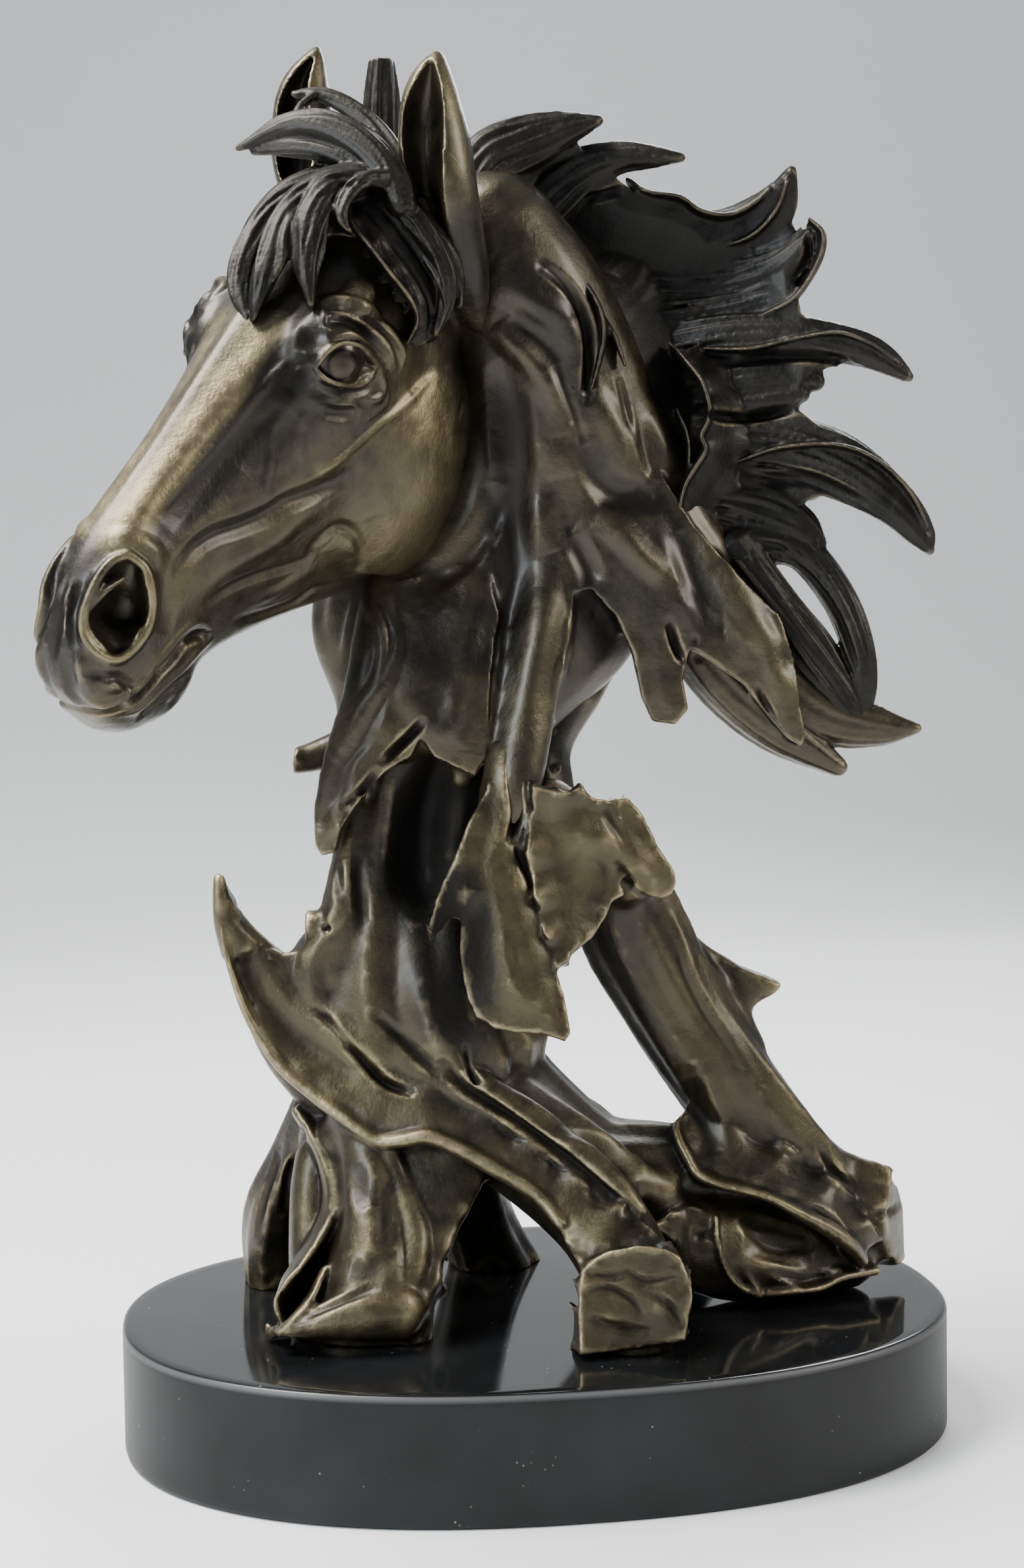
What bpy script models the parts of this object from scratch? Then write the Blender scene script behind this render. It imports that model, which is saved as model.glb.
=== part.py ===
"""A cast bronze bust of a horse on an oval black marble plinth.

The bronze is one casting: a head turned to the viewer, a mane that streams behind it, and a neck that
tears into folds, leaves and roots as it comes down to the plinth. It is built the way a modeller works
in clay. Tapered rolls and blades are laid over each other, fused into one skin, carved with a few
strokes, and thinned to a light faceted solid.

The rolls are laid out on a front drawing of the sculpture, in millimetres. A place on it is (x, z, back):
x to the right, z up from the table, and back is how far behind the drawing's plane the clay lies, along
the sight line from the eye. A roll's station adds its half width on the drawing and its half depth.
"""

import math

import bmesh
import bpy
import numpy as np
from mathutils import Matrix, Vector
from mathutils.bvhtree import BVHTree

# Driving sizes, in metres
PLINTH_LENGTH = 0.245
PLINTH_DEPTH = 0.175
PLINTH_HEIGHT = 0.036
PLINTH_EDGE = 0.0016
PLINTH_SIDES = 96
PLINTH_SQUARENESS = 2.3
SEAT_GAP = 0.0003
FIGURE_HEIGHT = 0.369

# The front drawing: the eye that the drawing was made from, and how the figure is turned on its plinth
MM = 0.001
EYE = Vector((-5.1, -682.0, 231.5))
FIGURE_TURN = math.radians(-8.5)
DRAWN_PLINTH_TOP = 36.0
DRAWN_FIGURE_HEIGHT = 369.0

# The clay: how fine the fused skin is, how much it is smoothed, and how far it is thinned
MASS_SKIN = 0.002
MASS_SMOOTH_STEPS = 8
SKIN = 0.0013
SMOOTH_STEPS = 3
FACET_COUNT = 9200
ROLL_SIDES = 14
SHEET_ROLL_SIDES = 12
EAR_SIDES = 18
HEAD_SIDES = 32
BALL_SIDES = 16
THINNEST_ROLL = 0.5
LEAF_THICKNESS = 6
SHEET_THICKNESS = 7

# The head's own frame, on the drawing: where the poll is, and which way the nose and the far side point
POLL = Vector((-40.2, -19.6, 355.3))
NOSE_WAY = Vector((-0.499, -0.423, -0.756))
FAR_WAY = Vector((-0.797, 0.566, 0.209))
HEAD_SCALE = 0.959


def seen(x, z, back):
    """The point that the drawing shows at x, z, moved back along the sight line, in drawing millimetres."""
    share = (back - EYE.y) / -EYE.y
    return Vector((EYE.x + (x - EYE.x) * share, back, EYE.z + (z - EYE.z) * share))


def between(values, share):
    """A smooth curve through the rows of values, read at share from 0 to 1."""
    rows = np.array(values, float)
    if len(rows) == 2:
        return rows[0] + (rows[1] - rows[0]) * share
    place = share * (len(rows) - 1)
    i = min(int(place), len(rows) - 2)
    t = place - i
    p1, p2 = rows[i], rows[i + 1]
    p0 = rows[i - 1] if i > 0 else 2 * p1 - p2
    p3 = rows[i + 2] if i + 2 < len(rows) else 2 * p2 - p1
    return 0.5 * (2 * p1 + (p2 - p0) * t + (2 * p0 - 5 * p1 + 4 * p2 - p3) * t**2
                  + (3 * p1 - p0 - 3 * p2 + p3) * t**3)


def new_clay():
    """An empty pile of clay: the corners and faces of every piece laid down so far."""
    return {"corners": [], "faces": []}


def lay(clay, bm):
    """Adds a closed piece to the pile, faces outwards."""
    bmesh.ops.recalc_face_normals(bm, faces=list(bm.faces))
    first = len(clay["corners"])
    bm.verts.index_update()
    clay["corners"] += [v.co.copy() for v in bm.verts]
    clay["faces"] += [[first + v.index for v in f.verts] for f in bm.faces]
    bm.free()


def skin_rings(bm, rings):
    """Bridges a row of closed rings of edges into one roll, with a cap at each end."""
    for one, other in zip(rings, rings[1:]):
        bmesh.ops.bridge_loops(bm, edges=one + other)
    bmesh.ops.contextual_create(bm, geom=rings[0])
    bmesh.ops.contextual_create(bm, geom=rings[-1])


def ring_of(made):
    return list({edge for vert in made for edge in vert.link_edges})


def roll(clay, stations, steps=4, facing=(0, -1, 0), cut=None, sides=ROLL_SIDES):
    """A tapered roll of clay through stations (x, z, back, half width, half depth) of the drawing."""
    count = steps * (len(stations) - 1) + 1
    rows = [between(stations, i / (count - 1)) for i in range(count)]
    points = [seen(*row[:3]) for row in rows]
    bm = bmesh.new()
    rings = []
    for i, point in enumerate(points):
        along = (points[min(i + 1, count - 1)] - points[max(i - 1, 0)]).normalized()
        last = i == count - 1
        if cut and last:
            along = Vector(cut).normalized()
        across = along.cross(Vector(facing)).normalized()
        through = across.cross(along).normalized()
        width = max(rows[i][3] * (rows[i][2] - EYE.y) / -EYE.y, THINNEST_ROLL)
        depth = max(rows[i][4], THINNEST_ROLL)
        tapers = [(0.0, 1.0)]
        if i == 0:
            tapers = [(-0.75, 0.3), (-0.5, 0.74), (0.0, 1.0)]
        elif last and not cut:
            tapers = [(0.0, 1.0), (0.5, 0.74), (0.75, 0.3)]
        for push, share in tapers:
            turn = Matrix((across * width * share, through * depth * share, along)).transposed().to_4x4()
            place = Matrix.Translation(point + along * (push * min(width, depth))) @ turn
            made = bmesh.ops.create_circle(bm, segments=sides, radius=1.0, matrix=place)["verts"]
            rings.append(ring_of(made))
    skin_rings(bm, rings)
    lay(clay, bm)


def plate(clay, outline, thickness, hollow=0.0, reach=12.0):
    """A torn sheet of metal: an outline (x, z, back) of the drawing, its middle hollow mm behind its rim."""
    bm = bmesh.new()
    rim = np.array(outline, float)
    corners = [bm.verts.new((x, 0, z)) for x, z, _ in outline]
    edges = [bm.edges.new((corners[i - 1], corners[i])) for i in range(len(corners))]
    bmesh.ops.triangle_fill(bm, edges=edges, use_beauty=True)
    bmesh.ops.subdivide_edges(bm, edges=list(bm.edges), cuts=4, use_grid_fill=True)
    starts, ends = rim[:, :2], np.roll(rim[:, :2], -1, axis=0)
    for vert in bm.verts:
        spot = np.array((vert.co.x, vert.co.z))
        nearness = 1 / (np.sum((starts - spot) ** 2, axis=1) + 0.3)
        back = float(np.sum(nearness * rim[:, 2]) / np.sum(nearness))
        sides = ends - starts
        share = np.clip(np.sum((spot - starts) * sides, axis=1) / np.sum(sides**2, axis=1), 0, 1)
        inward = float(np.min(np.linalg.norm(starts + sides * share[:, None] - spot, axis=1)))
        back += hollow * (1 - math.exp(-((inward / reach) ** 2)))
        vert.co = seen(vert.co.x, vert.co.z, back)
    bmesh.ops.recalc_face_normals(bm, faces=list(bm.faces))
    bmesh.ops.solidify(bm, geom=list(bm.faces), thickness=thickness)
    lay(clay, bm)


def ball(clay, centre, radii, frame):
    """An ellipsoid of clay with its half axes along the head's nose, brow and side."""
    bm = bmesh.new()
    turn = Matrix([axis * size for axis, size in zip(frame, radii)]).transposed().to_4x4()
    place = Matrix.Translation(centre) @ turn
    bmesh.ops.create_uvsphere(bm, u_segments=BALL_SIDES, v_segments=BALL_SIDES // 2, radius=1.0,
                              matrix=place)
    lay(clay, bm)


# The masses of the roots, from the trunk down: (x, z, back, half width, half depth)
ROOTS = {
    "core": [(-24, 228, 4, 27, 20), (-30, 198, 5, 24, 19), (-34, 168, 5, 23, 19), (-36, 142, 3, 28, 23),
             (-34, 120, 0, 33, 25), (-26, 102, 0, 33, 24)],
    "arch_wall": [(20, 262, 12, 14, 8), (19, 242, 13, 15, 7), (13, 222, 11, 12, 7), (5, 202, 7, 8, 8),
                  (4, 184, 4, 10, 9), (0, 168, 2, 10, 10)],
    "post": [(-51, 186, -5, 5, 6), (-53, 165, -8, 7, 7), (-56, 148, -9, 9, 8), (-60, 137, -8, 13, 9),
             (-55, 125, -8, 17, 10)],
    "knob": [(-56, 150, -8, 7, 6), (-62, 148, -9, 5, 5), (-64, 146, -9, 2.5, 3)],
    "horn": [(-92, 160, -15, 2.2, 3), (-88.5, 147, -15, 6.5, 4), (-80, 133, -13, 12, 5),
             (-69, 117, -12, 18, 7), (-53, 105, -9, 20, 10), (-36, 97, -7, 19, 14)],
    "front_root": [(-46, 112, -2, 18, 16), (-27, 99, -10, 17, 17), (-9, 85, -19, 16, 16),
                   (8, 71, -29, 15, 15), (22, 57, -38, 17, 14), (30, 40, -53, 19, 14)],
    "stump_low": [(24, 52, -38, 14, 13), (29, 36, -51, 16, 13)],
    "rope": [(-66, 132, -14, 1.6, 2), (-57, 120, -17, 5, 5), (-42, 106, -19, 8, 7),
             (-24, 96, -22, 8, 7), (-4, 84, -28, 8, 7), (14, 73, -34, 8, 7), (26, 63, -42, 6, 6)],
    "inner_rope": [(-36, 124, -13, 5, 4), (-24, 109, -14, 7, 6), (-8, 97, -15, 8, 7),
                   (10, 84, -18, 8, 7), (26, 74, -20, 6, 6), (40, 64, -20, 4, 4)],
    "front_foot": [(-54, 98, -14, 15, 10), (-53, 78, -25, 12, 9), (-51, 60, -35, 13, 10),
                   (-50, 44, -43, 17, 11), (-55, 30, -48, 18, 9)],
    "toe": [(-40, 33, -47, 9, 8), (-58, 30, -51, 7, 6), (-76, 25.5, -53, 1.8, 2)],
    "foot_edge": [(-70, 97, -8, 4, 4), (-63, 78, -18, 4, 6), (-64, 60, -28, 4, 6), (-71, 46, -38, 3, 6),
                  (-77, 35, -42, 2, 4)],
    "pillar": [(-38, 88, -29, 5, 7), (-37, 66, -37, 5.5, 8), (-33, 48, -44, 5, 7),
               (-30, 34, -48, 4, 5)],
    "back_foot": [(-60, 104, 6, 8, 9), (-70, 80, 16, 9, 12), (-77, 62, 22, 11, 14),
                  (-78, 42, 26, 10, 13)],
    "leg": [(24, 172, 2, 12, 11), (29, 150, 7, 16, 12), (41, 126, 9, 15.5, 12), (53, 107, 10, 15.5, 13),
            (67, 88, 12, 15.5, 14), (82, 72, 16, 14, 14), (98, 60, 22, 14, 13)],
    "fin": [(42, 152, 12, 4, 4), (50, 139, 13, 8, 5), (56, 124, 13, 10, 7), (61, 110, 13, 8, 8)],
    "thorn": [(52, 134, 13, 8, 5), (66, 130, 13, 4, 3.5), (75, 128.5, 13, 1.4, 2)],
    "foot": [(84, 68, 16, 12, 9), (98, 60, 13, 14, 10), (108, 57, 13, 14, 11)],
    "saddle": [(-18, 113, 6, 16, 14), (0, 93, 5, 15, 14), (18, 78, 4, 14, 15), (36, 75, 4, 14, 15),
               (56, 72, 8, 14, 13), (76, 68, 12, 12, 12)],
    "leaf_floor": [(30, 64, -4, 9, 10), (46, 53, -6, 14, 13), (64, 48, -5, 14, 13), (80, 47, 2, 11, 12),
                   (95, 47, 9, 9, 9)],
    "back_root": [(-30, 116, 8, 16, 12), (-26, 88, 24, 14, 12), (-18, 60, 36, 12, 12),
                  (-10, 40, 44, 14, 12)],
    "side_root": [(-6, 98, 8, 10, 10), (14, 84, 20, 12, 12), (34, 62, 30, 12, 12),
                  (48, 42, 36, 12, 11)],
    "leaf_stem": [(-2, 214, -13, 9, 7), (-5, 195, -19, 9, 7), (-7, 175, -21, 10, 7),
                  (-8, 152, -21, 10, 7)],
    "broad_stem": [(4, 186, -14, 8, 8), (18, 172, -8, 11, 9), (30, 163, -2, 11, 10)],
}
FRONT_CUT = (0.3, -1, 0.02)
FOOT_CUT = (1, -0.5, 0.15)
RIMS = {
    "horn_tip": [(-93, 164, -16, 1.6, 2), (-92, 152, -16, 3.6, 3), (-89, 142, -15, 5, 3.5)],
    "horn_rim": [(-94, 160, -17, 1.4, 2), (-91.5, 145, -18, 1.8, 2.5), (-86, 125, -19, 1.9, 3),
                 (-77, 108, -21, 2, 3), (-64, 97, -25, 2, 3.5), (-48, 86, -29, 2.4, 4),
                 (-32, 85, -32, 3, 4.5), (-15, 78, -35, 3.4, 5), (3, 68, -39, 4, 5),
                 (16, 58, -44, 5, 5)],
    "saddle_ridge": [(39, 92, 0, 2.4, 4), (44, 81, -6, 2.2, 5), (52, 73, -11, 2.2, 4.5),
                     (60, 69, -14, 2, 4), (70, 66.5, -15, 1.8, 4), (82, 62, -14, 1.8, 4),
                     (91, 55, -11, 2.4, 5), (96, 46, -4, 3.4, 6)],
    "leaf_fold": [(56, 62, -12, 1.6, 5), (58, 50, -14, 1.6, 5), (64, 40, -14, 1.6, 4)],
    "leaf_lip": [(38, 60, -14, 3, 4), (45, 62, -14, 3, 4), (50, 56, -16, 3.4, 4),
                 (54, 44, -17, 3.6, 4)],
    "leaf_sole": [(50, 41, -15, 3, 4), (66, 38, -16, 3, 4), (82, 40, -10, 3, 4), (92, 43, -4, 3, 4)],
}
LEAVES = {
    "long": [(-10, 200, -24), (-14, 189, -28), (-18.5, 179, -30), (-23, 168, -32), (-28.5, 157, -33),
             (-31, 149, -34), (-29.8, 143.5, -34), (-27, 147, -33), (-23.5, 151, -32), (-21, 150, -32),
             (-21.5, 141, -33), (-19.5, 128, -34), (-17, 122, -35), (-11, 117.5, -36), (0, 116, -36),
             (9, 113.5, -35), (12, 116, -34), (9.5, 128, -32), (7.5, 134.5, -31), (4, 145, -30),
             (1, 156, -29), (-1, 168, -28), (1, 180, -26), (2, 200, -22)],
    "broad": [(1, 190, -26), (8.5, 188, -26), (15.5, 189, -24), (20, 186, -21), (25, 185.5, -18),
              (28.5, 186.5, -17), (32, 183.5, -15), (35.5, 177.5, -14), (38.5, 171, -13),
              (42.5, 165, -12), (43.5, 161, -12), (42, 157, -12), (38.5, 155.5, -12), (33, 157, -13),
              (29.5, 160, -14), (26.5, 163, -16), (28, 157, -16), (24.5, 155.5, -17), (22, 150, -20),
              (17.5, 143.5, -23), (13, 141, -26), (11, 137.5, -28), (7.5, 135.5, -29), (4, 146, -29),
              (1.5, 157, -29), (-1, 170, -28)],
    "hood": [(39, 92, 0), (44, 81, -6), (52, 73, -11), (60, 69, -14), (70, 66.5, -15), (82, 62, -14),
             (91, 55, -11), (97, 47, -6), (104, 52, 2), (98, 64, 6), (84, 76, 6), (70, 86, 4),
             (56, 96, 2), (46, 104, 2)],
}

# The neck: its masses, then the torn sheets over its near side
NECK = {
    "body": [(-10, 356, -8, 18, 17), (0, 334, -2, 24, 21), (6, 312, 6, 29, 24), (8, 290, 10, 34, 25),
             (4, 268, 12, 42, 24), (-8, 247, 11, 43, 23), (-18, 228, 8, 37, 22), (-25, 210, 5, 31, 20)],
    "crest": [(-8, 350, -6, 12, 13), (8, 326, 2, 15, 17), (22, 300, 8, 17, 17), (36, 274, 10, 17, 14),
              (50, 252, 11, 14, 11), (64, 230, 9, 10, 8), (76, 210, 8, 6, 5)],
    "near_band": [(4, 330, -14, 7, 6), (6, 306, -10, 8, 6), (8, 282, -8, 9, 7), (7, 258, -8, 9, 7),
                  (4, 236, -11, 9, 7), (0, 216, -13, 9, 7), (-2, 200, -15, 8, 6)],
    "near_fold": [(-34, 268, 8, 6, 6), (-41, 243, -8, 9, 8), (-46, 218, -15, 9, 7),
                  (-53, 198, -16, 8.5, 6), (-59, 183, -15, 5.5, 5), (-61.5, 172, -14, 2.5, 3)],
    "far_fold": [(-50, 262, 14, 9, 9), (-56, 238, 14, 8, 9), (-51, 216, 12, 6, 8), (-53, 204, 8, 5, 6)],
    "chest_fold": [(-20, 266, 8, 9, 7), (-25, 240, -8, 10, 8), (-28, 214, -14, 9, 6),
                   (-38, 200, -14, 5, 4)],
    "inner_fold": [(-10, 270, 6, 6, 6), (-13, 240, -8, 8, 7), (-17, 208, -14, 7, 5),
                   (-20, 192, -13, 4, 4)],
}
LOCKS_BELOW = {
    "under_lock": [(44, 238, 8, 8, 8), (58, 220, 9, 9, 8), (74, 206, 8, 8, 7), (92, 194, 5, 3, 3)],
    "end_lock": [(72, 222, 8, 8, 7), (88, 210, 8, 9, 6), (104, 206, 7, 6, 4),
                 (115, 205.5, 6, 1.8, 2.5)],
    "spur": [(-50, 204, 5, 6, 6), (-64, 199.5, 2, 4.4, 4), (-69.5, 198.5, 0, 4, 3.8)],
}
SPUR_CUT = (-1, 0, 0.1)
NECK_SHEETS = {
    "neck": [(4, 322, 10), (20, 308, 7), (36, 288, 2), (50, 266, -2), (62, 252, -2), (75, 239, 0),
             (79, 226, 1), (80.5, 213, 0), (82, 204, 0), (81, 200.5, 0), (77, 203, -1), (71, 210, -2),
             (64, 219, -3), (55, 225.5, -4), (48, 230, -4), (46, 221, -4), (47.5, 212, -4),
             (43.5, 207.5, -4), (36.5, 208.5, -4), (33.5, 216, -5), (31, 229, -6), (26, 240, -6),
             (19, 248, -7), (14, 247, -8), (12, 236, -10), (10, 224, -12), (7, 210, -12), (2, 206, -12),
             (-2, 240, -6), (-6, 270, 4), (-6, 300, 8)],
    "throat": [(-42, 250, -6), (-28, 254, -4), (-12, 260, -4), (-8, 240, -10), (-11, 222, -14),
               (-12, 207, -15), (-13, 198, -15), (-16, 193, -15), (-22, 196, -16), (-28, 199, -16),
               (-32, 205, -16), (-35, 199, -16), (-41, 196, -17), (-46, 192, -17), (-50, 187, -18),
               (-56, 178.5, -18), (-58, 171, -16), (-62, 170, -15), (-64, 174, -14), (-63.5, 182, -12),
               (-60, 190, -12), (-56.5, 204, -12), (-52, 220, -12), (-47, 240, -8)],
}

# The mane: one torn sheet, hollow to the front, with the locks that run out of it
MANE_SHEET = [(-12, 352, -2), (-8, 368, 4), (0, 380, 8), (14, 381, 10), (22, 374, 12), (34, 365, 14),
              (46, 360, 15), (58, 355, 16), (66, 356, 15), (74, 364, 13), (82, 347, 12), (81, 335, 11),
              (84, 324, 10), (96, 318, 9), (88, 308, 10), (84, 298, 10), (96, 288, 8), (110, 274, 6),
              (104, 268, 6), (92, 274, 9), (82, 270, 10), (84, 262, 10), (72, 258, 10), (56, 262, 10),
              (44, 284, 9), (30, 306, 8), (14, 330, 4)]
MANE = {
    "first": [(-16, 360, 0, 9, 5), (-9, 373, 3, 9, 5), (3, 378.5, 6, 8, 4.5), (14, 382, 7, 4.8, 4),
              (23, 384, 6, 1.6, 2)],
    "second": [(0, 356, 8, 8, 5), (12, 367, 12, 8, 5), (26, 373, 13, 5, 4.5), (38, 373.5, 11, 3.4, 4),
               (47, 373, 9, 1.4, 2)],
    "third": [(16, 348, 18, 8, 5), (34, 352, 22, 6, 5), (50, 350, 20, 5, 4), (66, 352.5, 15, 5, 4),
              (74, 358, 10, 5, 4), (79, 369, 5, 1.4, 2)],
    "fold": [(44, 330, 20, 9, 5), (62, 334, 20, 9, 5), (77, 341, 14, 8, 4.5), (84.5, 348, 9, 4.4, 4)],
    "fourth": [(40, 314, 15, 10, 6), (60, 320, 16, 10, 5), (80, 323, 12, 7, 4.5), (98, 317, 8, 5.5, 4),
               (113, 308.5, 4, 1.6, 2)],
    "fifth": [(48, 288, 11, 10, 6), (70, 289, 12, 11, 5), (90, 284, 8, 10, 5), (107, 273, 4, 7, 4.5),
              (116, 263, 2, 4.5, 4), (119, 257.5, 1, 1.4, 2)],
    "skirt": [(54, 272, 11, 8, 6), (68, 270, 11, 9, 5), (80, 266, 9, 6, 4), (86, 260, 8, 3, 3)],
    "strap": [(64, 262, 10, 8, 5), (80, 259, 9, 6, 4), (91, 246, 7, 5.4, 4), (97, 232, 6, 5, 4),
              (99.5, 219, 6, 3.8, 3.5), (97, 209, 7, 4, 3)],
    "last": [(60, 260, 8, 8, 6), (73, 243, 7, 7, 5), (83, 229, 6, 8, 5), (92, 216, 6, 6, 4),
             (97, 208, 7, 4, 4)],
}
CURLS = {
    "crest": [(8, 347, -2, 4, 4), (18, 336, -8, 3, 3), (23, 323, -10, 2.6, 3), (21, 309, -10, 1, 1.5)],
    "side": [(40, 314, 6, 4, 5), (51, 306, -2, 3, 4), (53, 294, -5, 3, 3), (48, 281, -6, 2.4, 3),
             (44, 268, -6, 1, 1.5)],
}
FORELOCK_SHEET = [(-28, 362, -40), (-46, 372, -34), (-63, 367, -32), (-70, 358, -37), (-80, 344, -43),
                  (-79, 338, -50), (-72, 350, -50), (-66, 356, -50), (-58, 352, -52), (-52, 352, -50),
                  (-44, 350, -48), (-36, 344, -46), (-26, 336, -40), (-20, 346, -40)]
FORELOCK = {
    "flying": [(-34, 362, -34, 6, 6), (-44, 373, -38, 8, 5), (-56, 380.5, -36, 6.5, 5),
               (-68, 382.5, -33, 4.2, 4), (-81.5, 377.5, -31, 1.2, 2)],
    "curl": [(-34, 368, -32, 5, 5), (-42, 382, -30, 4, 4), (-51, 389, -27, 3, 3.5),
             (-65, 392.5, -25, 1.2, 2)],
    "fall_left": [(-44, 368, -38, 6, 6), (-57, 366.5, -44, 6, 5), (-67, 360, -48, 6, 5),
                  (-73, 348, -55, 5, 4), (-77.5, 335, -59, 3.4, 3), (-79, 328, -60, 1.2, 2)],
    "fall_edge": [(-46, 369, -34, 6, 6), (-62, 366.5, -36, 6, 6), (-74, 356, -42, 6, 5),
                  (-81, 344, -49, 4.6, 4), (-82, 334.5, -54, 3, 3), (-80.5, 329, -57, 1.2, 2)],
    "fall_middle": [(-47, 367, -44, 6, 5), (-57, 362, -51, 6, 5), (-62, 349, -58, 5, 4),
                    (-63, 340, -61, 3.2, 3), (-62, 332, -62, 1.2, 2)],
    "fall_near": [(-40, 365, -44, 6, 5), (-43, 354, -50, 6, 4), (-37, 341, -52, 6, 4),
                  (-30, 330, -49, 4.4, 4), (-30, 321, -44, 2, 3)],
    "ear_lock": [(-32, 361, -42, 6, 5), (-29, 349, -46, 6, 5), (-25, 339, -45, 5, 4),
                 (-22, 329, -42, 2.4, 3)],
}
TOPKNOT = [(-40.5, 366, -16, 6, 6), (-40.2, 389, -15, 5.4, 4.8), (-40, 402, -15, 4.2, 4)]
TOPKNOT_CUT = (0, 0, 1)
CROWN = [(-60, 356, -16, 8, 10), (-44, 360, -22, 12, 14), (-26, 354, -22, 12, 14)]

# Head sections: along the face, top, bottom, then half widths from the bridge down to the jaw
HEAD_LEVELS = (0.0, 0.05, 0.14, 0.27, 0.52, 0.78, 0.95, 1.0)
HEAD = [(-12, 2, -34, 8, 11, 14, 15, 12, 8), (6, 12, -54, 12, 17, 20, 21, 18, 10),
        (26, 18, -74, 15, 22, 26, 24, 21, 12), (46, 20, -85, 16, 24.5, 27, 25, 22, 12),
        (64, 19.5, -86, 14, 22.5, 25.5, 25, 22, 11), (84, 18, -78, 11, 16.5, 21, 22, 17, 8),
        (104, 16.5, -64, 9, 13, 16.5, 18.5, 12, 7), (124, 15.5, -51, 8.5, 11.5, 14, 15.5, 10, 6),
        (140, 15, -42, 9, 12.5, 15, 15, 11.5, 8), (152, 13, -41, 9, 13, 16, 15.5, 12, 9),
        (163, 9, -41, 8, 11.5, 14.5, 14.5, 11.5, 8), (173, 1.5, -36, 6, 9, 12, 12.5, 9.5, 6),
        (178, -8, -28, 4, 5.5, 7, 8, 6, 3)]
BUMPS = {
    "jowl": ((50, -50, 16), (36, 35, 12)),
    "eye": ((57, 2, 19), (16, 14, 11)),
    "cheek": ((62, -20, 20), (24, 9, 5)),
    "nose_side": ((150, 1, 8), (13, 10, 8)),
    "upper_lip": ((162, -18, 7), (10, 9, 7)),
    "chin": ((153, -35, 3), (14, 7, 8)),
}
EARS = {
    "near": [(-14, 330, -14, 4, 8), (-17.5, 341, -26, 8, 10), (-20.5, 354, -34, 10, 10),
             (-23, 366, -38, 11, 10), (-25, 378, -39, 11.4, 10), (-26, 390, -40, 9.6, 8.5),
             (-25, 399, -40, 6, 6), (-23.4, 406, -40, 2, 2.4)],
    "far": [(-57, 356, -12, 8, 10), (-62.5, 370, -8, 10, 9.5), (-63.6, 381, -6, 9.6, 9),
            (-63, 391, -6, 8.8, 7), (-61, 399, -6, 6, 5.4), (-58, 408, -6, 2, 2.2)],
}

# Hollows cut into the masses: (x, z, back, half width, half depth)
HOLLOWS = {
    "near_ear": [(-26, 401, -47, 1.5, 5), (-27.5, 393, -48, 4.6, 10), (-28.6, 380, -48, 6, 12),
                 (-28, 368, -46, 5.2, 12), (-26, 358, -44, 3.7, 10), (-22, 346, -41, 1.6, 5)],
    "far_ear": [(-61, 402, -11, 1.2, 5), (-65.5, 392, -13, 4.4, 10), (-66.3, 380, -14, 5.4, 12),
                (-65.6, 371, -14, 4.6, 10), (-65, 364, -15, 2.2, 6)],
    "nostril": [(-116, 257.5, -91, 3.4, 6), (-118.6, 249, -92, 6.6, 13), (-120.8, 240, -93, 7.4, 14),
                (-120.4, 233, -92, 4, 7)],
    "leaf": [(48, 58, -30, 3, 6), (60, 55, -29, 7, 13), (74, 52, -25, 7.5, 14), (88, 48, -16, 4, 9)],
    "foot": [(-57, 70, -42, 3, 5), (-57, 58, -48, 6, 9), (-60, 46, -54, 6, 8), (-64, 40, -58, 4, 5)],
}

# Cuts and swells of the tool: a path on the drawing, its radius, and how far it raises the clay
HEAD_STROKES = {
    "socket": ([(-60, 320), (-52, 322), (-44, 319), (-40, 312)], 6, -2.6),
    "eye": ([(-55, 315), (-50, 315)], 6, 2.4),
    "brow": ([(-61, 329), (-55, 333), (-46, 331), (-38, 324)], 4.5, 2.4),
    "nostril_rim": ([(-117, 260), (-110.4, 250), (-111.8, 238), (-121, 229.5), (-130, 236),
                     (-129, 247.5), (-122, 258), (-117, 260)], 3.2, 1.6),
    "mouth": ([(-94, 236), (-104.4, 228.7), (-111.2, 221.6), (-119.3, 215.4), (-129, 214)], 3, -2.4),
    "crest": ([(-38, 300), (-50.6, 290), (-63, 281.6), (-76, 275)], 4.5, 1.4),
    "crest_under": ([(-51, 281), (-63.5, 276), (-76, 270), (-91, 265), (-102, 254)], 4.5, -2),
    "jaw_groove": ([(-56, 250), (-68, 247), (-84, 242)], 4.5, -2),
}
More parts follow.
